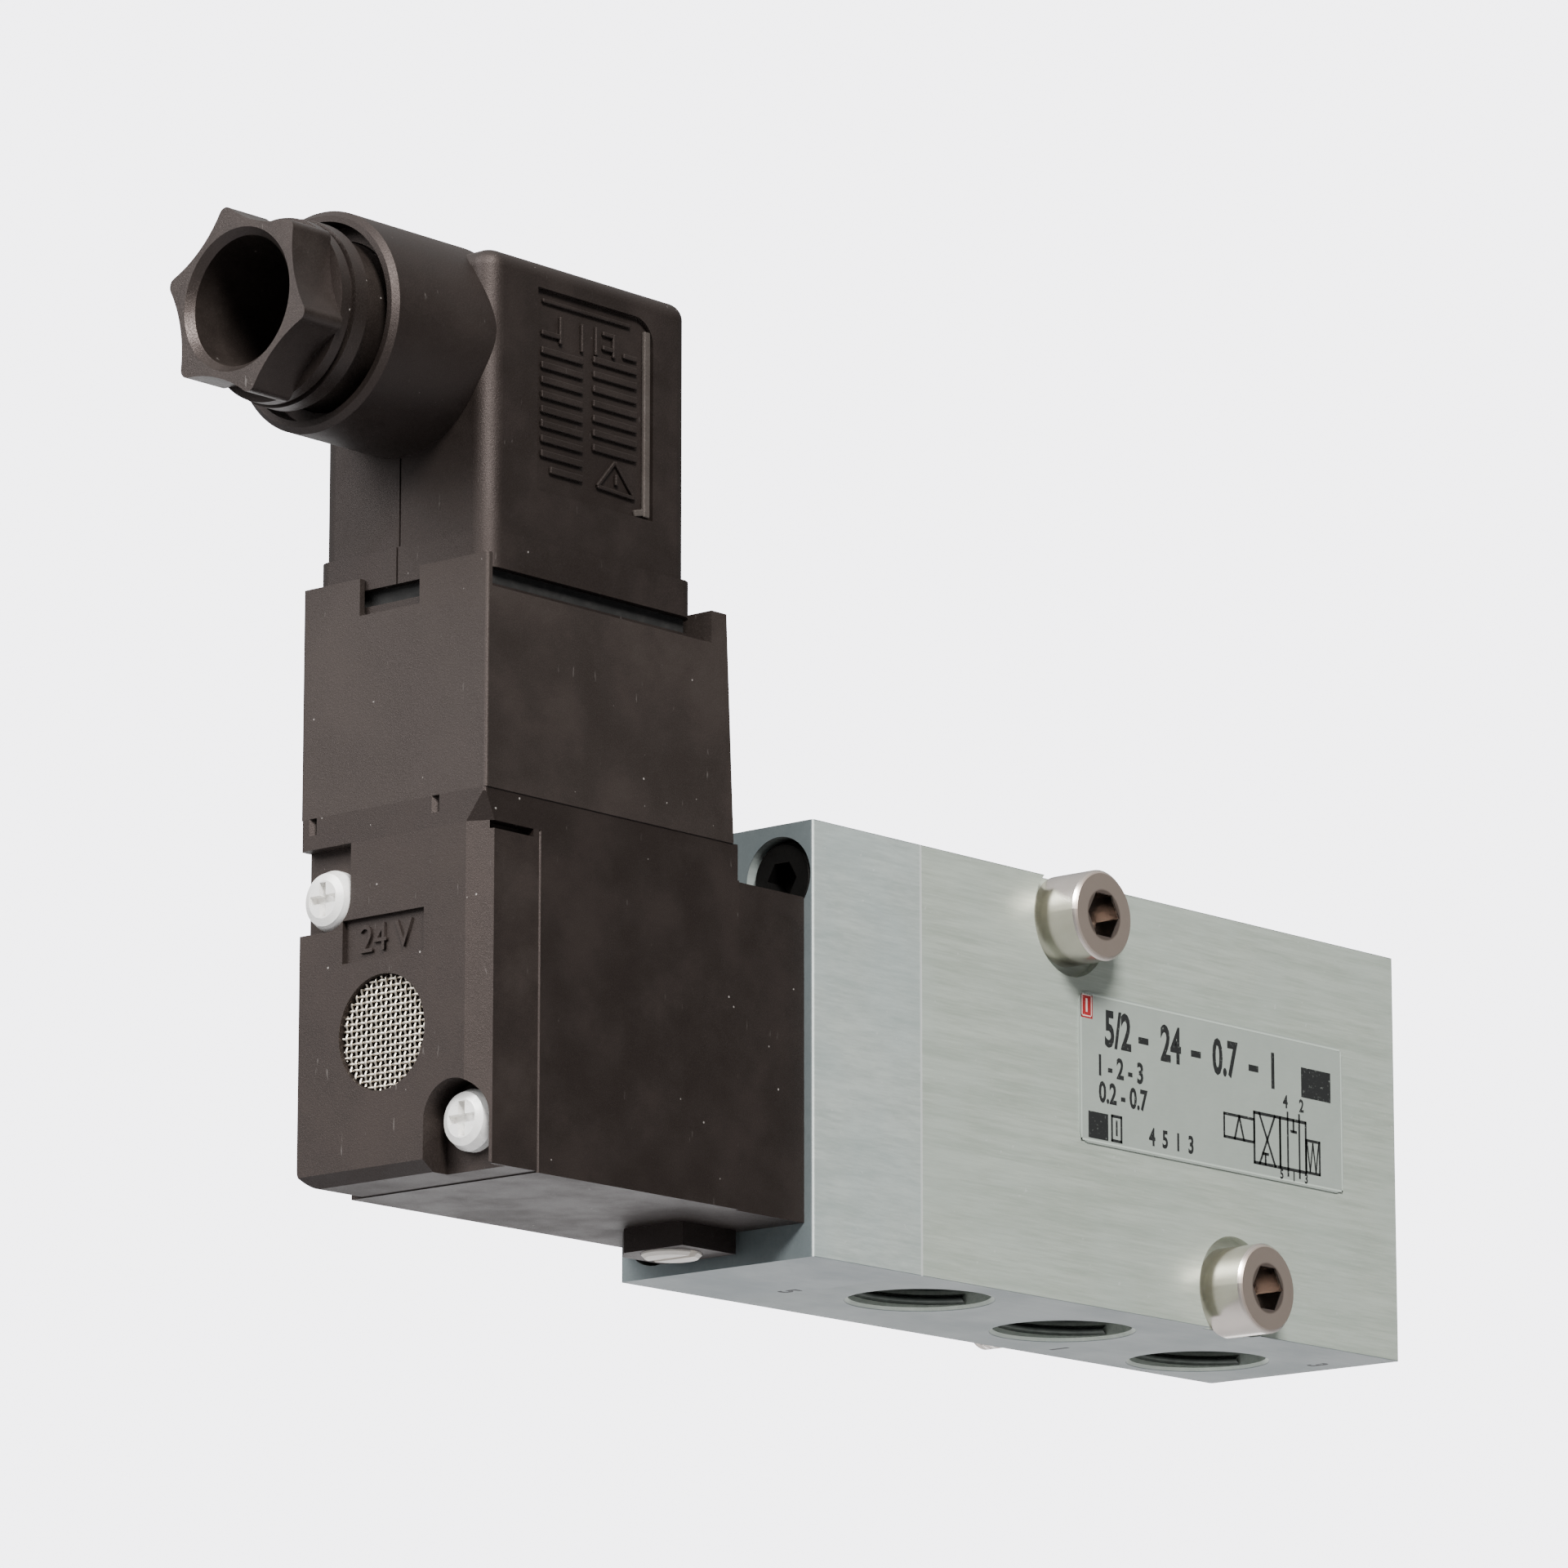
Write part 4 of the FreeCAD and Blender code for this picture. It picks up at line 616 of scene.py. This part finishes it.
# the film's rim is painted pale as a highlight where its edge catches the light
rim_highlight = print_ink("label_rim_highlight", colour(0.38, 0.43, 0.385))
label_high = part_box("name_label")[1]
label_middle = middle("name_label")
RIM_INSET = 0.5
RIM_WIDE = 0.18
rim_size = (label_high - label_middle) * 2 / MM
rim = printed_box(
    label_middle.x / MM,
    label_middle.z / MM,
    rim_size.x - RIM_INSET,
    rim_size.z - RIM_INSET,
    RIM_WIDE,
)
fit(join(rim, "label_rim_highlight"), rim_highlight, "valve")


# ---------------------------------------------------------------- pilot body and cover
# The pilot head is moulded in black glass-filled polymer. Its flat faces have a satin spark
# texture that has gone hazy with handling, and glass shows as tiny pale specks.
GLASS_PALE = colour(0.45, 0.42, 0.4)
PLASTIC_DEEP = colour(0.0055, 0.0038, 0.003)
PILOT_HAZE = colour(0.0145, 0.0108, 0.0092)
COVER_HAZE = colour(0.023, 0.0175, 0.015)


def moulded(name, centre, deep, haze, gloss=0.42, cloud=0.16, speck=0.5):
    """Black moulding: satin grain, hazy cloud, sparse pale specks and short scuffs."""
    finish = Finish(name, IOR=1.47, Specular_Tint=colour(1.0, 0.84, 0.8))
    every_way = finish.place(centre)
    grain = finish.noise(every_way, 5.5, 3.0, 0.65)
    patch = finish.between(finish.noise(every_way, cloud, 5.0, 0.62), 0.34, 0.72)
    dots = finish.node("ShaderNodeTexVoronoi", {}, {"Vector": every_way, "Scale": 0.55})
    sparse = finish.between(finish.noise(every_way, 0.8, 1.0), 0.56, 0.6)
    specks = (1 - finish.between(dots, 0.035, 0.07)) * sparse
    upward = finish.place(centre, (1.0, 1.0, 0.16))
    scuff = finish.between(finish.noise(upward, 2.2, 3.0, 0.5), 0.71, 0.78)
    fuzz = finish.between(finish.noise(every_way, 9.0, 2.0, 0.8), 0.45, 0.75)
    shade = finish.mix(patch * 0.3 + grain * 0.3 + fuzz * 0.3, deep, haze)
    shade = finish.mix(specks * speck + scuff * 0.12, shade, GLASS_PALE)
    finish.feed("Base Color", shade)
    finish.feed("Roughness", gloss + patch * 0.12 + grain * 0.08)
    finish.emboss(grain + fuzz * 0.6, 0.5, 0.035 * MM)
    return finish


pilot_plastic = moulded("pilot_moulding", middle("pilot_body"), PLASTIC_DEEP, PILOT_HAZE)
dress("pilot_body", pilot_plastic)
cover_plastic = moulded("cover_moulding", middle("pilot_cover"), PLASTIC_DEEP, COVER_HAZE, 0.46)
dress("pilot_cover", cover_plastic)
piston_plastic = moulded(
    "piston_moulding", middle("piston"), colour(0.5, 0.49, 0.45), colour(0.62, 0.6, 0.56)
)
dress("piston", piston_plastic)

# A sunk plate on the cover's end carries raised figures, moulded in one with it.
cover_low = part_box("pilot_cover")[0]
LEFT = (math.pi / 2, 0, -math.pi / 2)
plate_floor = cover_low.x + 0.5 * MM
rating_at = (plate_floor - 0.1 * MM, -10.5 * MM, 4.35 * MM)
rating = lettered("24 V", 3.5 * MM, rating_at, LEFT, 0.3 * MM, 0.95)
fit(join([rating], "cover_rating"), cover_plastic, "valve")

# The exhaust screen is a disc of plain woven stainless wire pressed into the cover. Each wire is
# a thin rod, bent over and under the ones it crosses.
SCREEN_PITCH = 0.58 * MM
WIRE_RADIUS = 0.12 * MM
screen_low, screen_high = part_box("exhaust_screen")
screen_middle = (screen_low + screen_high) / 2
screen_radius = (screen_high.y - screen_low.y) / 2
screen_face = screen_low.x + 2.3 * WIRE_RADIUS
WAVE_HEIGHT = 0.9 * WIRE_RADIUS
BEND_EVERY = 0.25 * MM


def woven_wire(offset, phase, upright):
    """One wire of the screen, across a chord of the disc, waved to pass over and under."""
    chord = math.sqrt(screen_radius**2 - offset**2)
    turn = (0, 0, 0) if upright else (math.pi / 2, 0, 0)
    centre = (screen_face, offset, 0) if upright else (screen_face, 0, offset)
    deselect()
    bpy.ops.mesh.primitive_cylinder_add(
        vertices=6,
        radius=WIRE_RADIUS,
        depth=2 * chord,
        end_fill_type="NOTHING",
        location=centre,
        rotation=turn,
    )
    wire = bpy.context.object
    settle(wire, "wire")
    bpy.ops.object.mode_set(mode="EDIT")
    bpy.ops.mesh.select_mode(type="EDGE")
    bpy.ops.mesh.select_all(action="DESELECT")
    bpy.ops.object.mode_set(mode="OBJECT")
    way = 2 if upright else 1
    for edge in wire.data.edges:
        first, second = (wire.data.vertices[index].co[way] for index in edge.vertices)
        edge.select = abs(first - second) > chord
    cuts = max(3, round(2 * chord / BEND_EVERY))
    bpy.ops.object.mode_set(mode="EDIT")
    bpy.ops.mesh.subdivide(number_cuts=cuts)
    bpy.ops.object.mode_set(mode="OBJECT")
    for point in wire.data.vertices:
        wave = math.cos(math.pi * point.co[way] / SCREEN_PITCH)
        point.co.x += phase * WAVE_HEIGHT * wave
    bpy.ops.object.shade_smooth()
    return wire


wires = []
count = int(screen_radius / SCREEN_PITCH)
for index in range(-count, count + 1):
    side = 1 if index % 2 else -1
    wires.append(woven_wire(index * SCREEN_PITCH, side, True))
    wires.append(woven_wire(index * SCREEN_PITCH, -side, False))
screen = join(wires, "screen_weave")
screen.location = (0, screen_middle.y, screen_middle.z)
settle(screen, "screen_weave")
wire_finish = turned_metal(
    "woven_wire", screen_middle, colour(0.74, 0.69, 0.6), colour(0.5, 0.45, 0.38), 0.3
)
fit(screen, wire_finish, "valve")
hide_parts("exhaust_screen")

# Two cross-recessed screws hold the cover. They are zinc plated; their near-white colour, with little
# metallic, is a painted reflection of a bright light.
pilot_screw_middle = middle("pilot_screws")
screw_painted_reflection = turned_metal(
    "screw_painted_reflection", pilot_screw_middle, colour(0.97, 0.965, 0.95), colour(0.8, 0.78, 0.74), 0.2
)
haze = screw_painted_reflection.noise(screw_painted_reflection.place(pilot_screw_middle), 1.5, 2.0)
screw_painted_reflection.feed("Metallic", 0.05 + 0.3 * haze)
dress("pilot_screws", screw_painted_reflection)

# The manual override is a white acetal button with a driver slot, in a boss under the pilot body.
acetal_deep = colour(0.72, 0.68, 0.62)
acetal_pale = colour(0.8, 0.77, 0.72)
button_finish = moulded(
    "button_acetal", middle("override_button"), acetal_deep, acetal_pale, 0.35, 0.5, 0.0
)
dress("override_button", button_finish)


# ---------------------------------------------------------------- coil
# The coil is overmoulded in black polymer round its bobbin and steel yoke. Inside are the copper
# winding, a steel core tube with a fixed core, and the armature that opens the pilot seat.
coil_deep = colour(0.008, 0.006, 0.005)
coil_haze = colour(0.032, 0.0255, 0.0225)
coil_plastic = moulded(
    "coil_moulding", middle("coil_housing"), coil_deep, coil_haze, 0.45, 0.1
)
dress("coil_housing", coil_plastic)
bobbin_plastic = moulded(
    "bobbin_moulding", middle("bobbin"), colour(0.02, 0.02, 0.02), colour(0.05, 0.05, 0.05)
)
dress("bobbin", bobbin_plastic)
ALONG_Z = (0.06, 0.06, 1)
steel_bright = colour(0.55, 0.55, 0.56)
steel_dull = colour(0.38, 0.38, 0.4)
magnet_steel = turned_metal(
    "magnet_steel", middle("fixed_core"), steel_bright, steel_dull, 0.25, ALONG_Z
)
for name in ("yoke", "core_tube", "fixed_core", "armature"):
    dress(name, magnet_steel)
copper = Finish("copper_winding", Metallic=1.0)
turns = copper.node(
    "ShaderNodeTexWave",
    {"bands_direction": "Z"},
    {"Vector": copper.place(middle("coil_winding")), "Scale": 1.6, "Distortion": 0.6, "Detail": 1.0},
)
copper.feed("Base Color", copper.mix(turns, colour(0.35, 0.1, 0.05), colour(0.72, 0.3, 0.16)))
copper.feed("Roughness", 0.45 - turns * 0.15)
copper.emboss(turns, 0.6, 0.05 * MM)
dress("coil_winding", copper)


# ---------------------------------------------------------------- plug connector
# The plug connector is a black hood over a terminal block that sits on the coil's three blades.
# Its front has a sunk panel with raised bars and a small triangle.
HOOD_HAZE = colour(0.0125, 0.0093, 0.008)
hood_middle = middle("connector_housing")
hood_plastic = moulded("hood_moulding", hood_middle, PLASTIC_DEEP, HOOD_HAZE, 0.44, 0.14)
dress("connector_housing", hood_plastic)
dress("terminal_base", hood_plastic)
block_plastic = moulded(
    "block_moulding", middle("terminal_block"), colour(0.02, 0.02, 0.02), colour(0.06, 0.06, 0.06)
)
dress("terminal_block", block_plastic)
brass = turned_metal(
    "brass", middle("terminal_blades"), colour(0.72, 0.55, 0.28), colour(0.5, 0.36, 0.17), 0.28
)
dress("terminal_blades", brass)
dress("terminal_screws", zinc_finish)
dress("connector_screw", nickel_finish)

SKIRT_STEP = 0.3
PANEL_DEEP = 0.45
HOOD_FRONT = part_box("connector_housing")[0].y / MM + SKIRT_STEP
PANEL_FLOOR = HOOD_FRONT + PANEL_DEEP
RELIEF = 0.32


def raised_bar(x1, x2, z, high, proud=RELIEF):
    """A raised bar on the sunk panel: a cube on its floor with a soft rounded front."""
    deselect()
    centre = ((x1 + x2) / 2 * MM, (PANEL_FLOOR - proud / 2) * MM, z * MM)
    size = ((x2 - x1) * MM, proud * MM, high * MM)
    bpy.ops.mesh.primitive_cube_add(size=1, location=centre, scale=size)
    bar = bpy.context.object
    settle(bar, "bar")
    rounding = bar.modifiers.new("rounding", "BEVEL")
    rounding.width = min(high, proud) * 0.3 * MM
    rounding.segments = 2
    bpy.ops.object.modifier_apply(modifier="rounding")
    return bar


def raised_stroke(x1, z1, x2, z2, thick=0.35):
    """A raised bar that slants from one point to another."""
    long = math.hypot(x2 - x1, z2 - z1)
    bar = raised_bar(-long / 2, long / 2, 0, thick)
    turn = Matrix.Rotation(-math.atan2(z2 - z1, x2 - x1), 4, "Y")
    bar.data.transform(Matrix.Translation(((x1 + x2) / 2 * MM, 0, (z1 + z2) / 2 * MM)) @ turn)
    return bar


RIB_PITCH = 1.33
RIB_HIGH = 0.62
LEFT_RIBS, RIGHT_RIBS = 9, 7
LAST_RIB_SHORTER = 1.2
relief = []
for row in range(LEFT_RIBS):
    shorten = LAST_RIB_SHORTER if row == LEFT_RIBS - 1 else 0
    relief.append(raised_bar(-82.5 + shorten, -77.1, 56.4 - RIB_PITCH * row, RIB_HIGH))
for row in range(RIGHT_RIBS):
    relief.append(raised_bar(-75.8, -70.1, 56.9 - RIB_PITCH * row, RIB_HIGH))
# the bars of the circuit symbol above the ribs: left, right, height of the middle, thickness
for x1, x2, z, high in [
    (-82.4, -71.0, 60.9, 0.35),
    (-82.5, -80.1, 58.0, 0.45),
    (-80.2, -79.8, 58.6, 2.5),
    (-77.4, -77.05, 58.5, 2.6),
    (-75.6, -75.2, 58.6, 2.6),
    (-74.6, -73.2, 59.5, 0.4),
    (-74.6, -73.2, 58.2, 0.4),
    (-73.3, -72.9, 58.6, 2.2),
    (-71.9, -70.1, 58.0, 0.45),
]:
    relief.append(raised_bar(x1, x2, z, high))
apex, left_foot, right_foot = (-72.9, 48.1), (-75.2, 45.5), (-70.3, 45.3)
relief.append(raised_stroke(*left_foot, *apex))
relief.append(raised_stroke(*apex, *right_foot))
relief.append(raised_stroke(*left_foot, *right_foot))
relief.append(raised_stroke(-72.7, 47.0, -72.7, 46.0, 0.4))
fit(join(relief, "hood_relief"), hood_plastic, "valve")

# the panel's right edge stands up as a rib that handling has worn pale
worn_plastic = moulded(
    "hood_worn", hood_middle, colour(0.03, 0.025, 0.022), colour(0.075, 0.066, 0.06), 0.3
)
worn_rib = [
    raised_bar(-69.3, -68.5, 52.3, 17.0, 0.4),
    raised_stroke(-69.0, 44.3, -70.4, 43.95, 0.6),
]
fit(join(worn_rib, "hood_worn_rib"), worn_plastic, "valve")


# ---------------------------------------------------------------- cable gland
# The gland nut screws into the hood's side boss and squeezes a rubber grommet through a washer.
# It is moulded in glossier black polymer, and no cable is fitted.
gland_deep = colour(0.007, 0.0052, 0.0045)
gland_haze = colour(0.03, 0.024, 0.021)
gland_plastic = moulded("gland_moulding", middle("gland_nut"), gland_deep, gland_haze, 0.3)
dress("gland_nut", gland_plastic)


# ---------------------------------------------------------------- springs and grommet
# Three coil springs and the gland's rubber grommet shorten when what they push against moves. Here
# each is a welded copy of the fixed piece, attached to the valve; the share of its length left at
# full stroke is worked out but not applied.
strokes = {joint["name"]: joint["range_m"][1] for joint in frame["joints"] if "range_m" in joint}
SHORTENING = {
    "return_spring": ("spool_shift", "x"),
    "armature_spring": ("armature_lift", "z"),
    "override_spring": ("override_press", "z"),
    "gland_grommet": ("gland_washer_press", "x"),
}
WELD = 0.001 * MM
SMOOTH_BELOW = math.radians(40)
for name, (joint, way) in SHORTENING.items():
    fixed = node[name]
    low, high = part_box(name)
    piece = fixed.copy()
    piece.data = fixed.data.copy()
    piece.parent = None
    bpy.context.scene.collection.objects.link(piece)
    settle(piece, name + "_loaded")
    bpy.ops.object.mode_set(mode="EDIT")
    bpy.ops.mesh.select_all(action="SELECT")
    bpy.ops.mesh.remove_doubles(threshold=WELD)
    bpy.ops.mesh.normals_make_consistent(inside=False)
    bpy.ops.object.mode_set(mode="OBJECT")
    bpy.ops.object.shade_smooth_by_angle(angle=SMOOTH_BELOW)
    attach(piece, "valve")
    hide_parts(name)
    long = getattr(high - low, way)
    1 - strokes[joint] / long
    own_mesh(piece)


# ---------------------------------------------------------------- studio
# A pale floor well below the valve, a soft key light from the upper left in front, a broad soft
# light from behind on the left, and a low light behind on the right.
CENTRE = Vector((-0.036, -0.0115, 0.023))


def lamp(name, place, power, wide, high, spread, tint=(1, 1, 1)):
    """An area lamp that faces the valve's centre."""
    data = bpy.data.lights.new(name, "AREA")
    data.shape = "RECTANGLE"
    data.size = wide
    data.size_y = high
    data.energy = power
    data.color = tint
    data.spread = math.radians(spread)
    light = bpy.data.objects.new(name, data)
    bpy.context.scene.collection.objects.link(light)
    light.location = place
    facing = CENTRE - Vector(place)
    light.rotation_euler = facing.to_track_quat("-Z", "Y").to_euler()


warm = (1.0, 0.985, 0.96)
lamp("key", (-0.85, -1.1, 1.05), power=11, wide=0.5, high=0.5, spread=70, tint=warm)
lamp("left_back", (-1.25, 0.35, 0.85), power=8.5, wide=1.0, high=1.0, spread=90)
lamp("low_back", (1.1, 0.95, -0.36), power=1.2, wide=1.2, high=0.3, spread=120)

deselect()
FLOOR_SIZE = 12
FLOOR_HEIGHT = -0.62
bpy.ops.mesh.primitive_plane_add(size=FLOOR_SIZE, location=(0, 0, FLOOR_HEIGHT))
floor = bpy.context.object
floor.name = "floor"
paper = Finish("studio_paper", Roughness=0.8)
paper_cloud = paper.noise(paper.place((0, 0, 0), (0.01, 0.01, 0.01)), 0.3, 2.0)
paper.feed("Base Color", paper.mix(paper_cloud, colour(0.58, 0.58, 0.60), colour(0.63, 0.63, 0.65)))
floor.data.materials.append(paper.material)

# The air round the object: pale where the camera sees it, dimmer in front and to the right.
world = bpy.data.worlds.new("studio_air")
bpy.context.scene.world = world
world.use_nodes = True
air = world.node_tree
background = air.nodes["Background"]
BRIGHTEST_WAY = Vector((-0.35, 0.3, 0.9)).normalized()
FADE = (-0.3, 0.9, 0.025, 0.95)
BACKDROP = colour(4.9, 4.85, 5.1)
view_way = air.nodes.new("ShaderNodeTexCoord")
towards = air.nodes.new("ShaderNodeVectorMath")
towards.operation = "DOT_PRODUCT"
towards.inputs[1].default_value = BRIGHTEST_WAY
fade = air.nodes.new("ShaderNodeMapRange")
for number, value in enumerate(FADE, 1):
    fade.inputs[number].default_value = value
seen = air.nodes.new("ShaderNodeLightPath")
choice = air.nodes.new("ShaderNodeMix")
choice.data_type = "RGBA"
choice.inputs[7].default_value = BACKDROP
air.links.new(view_way.outputs["Generated"], towards.inputs[0])
air.links.new(towards.outputs["Value"], fade.inputs[0])
air.links.new(fade.outputs[0], choice.inputs[6])
air.links.new(seen.outputs["Is Camera Ray"], choice.inputs[0])
air.links.new(choice.outputs[2], background.inputs["Color"])

# A long lens, low and to the left, looking slightly up at the valve.
lens = bpy.data.cameras.new("camera")
lens.lens = 181.84
lens.sensor_width = 36
camera = bpy.data.objects.new("camera", lens)
bpy.context.scene.collection.objects.link(camera)
camera.location = (-0.57094, -0.47639, -0.12892)
camera.rotation_euler = Vector((0.73537, 0.64287, 0.21440)).to_track_quat("-Z", "Y").to_euler()
bpy.context.scene.camera = camera
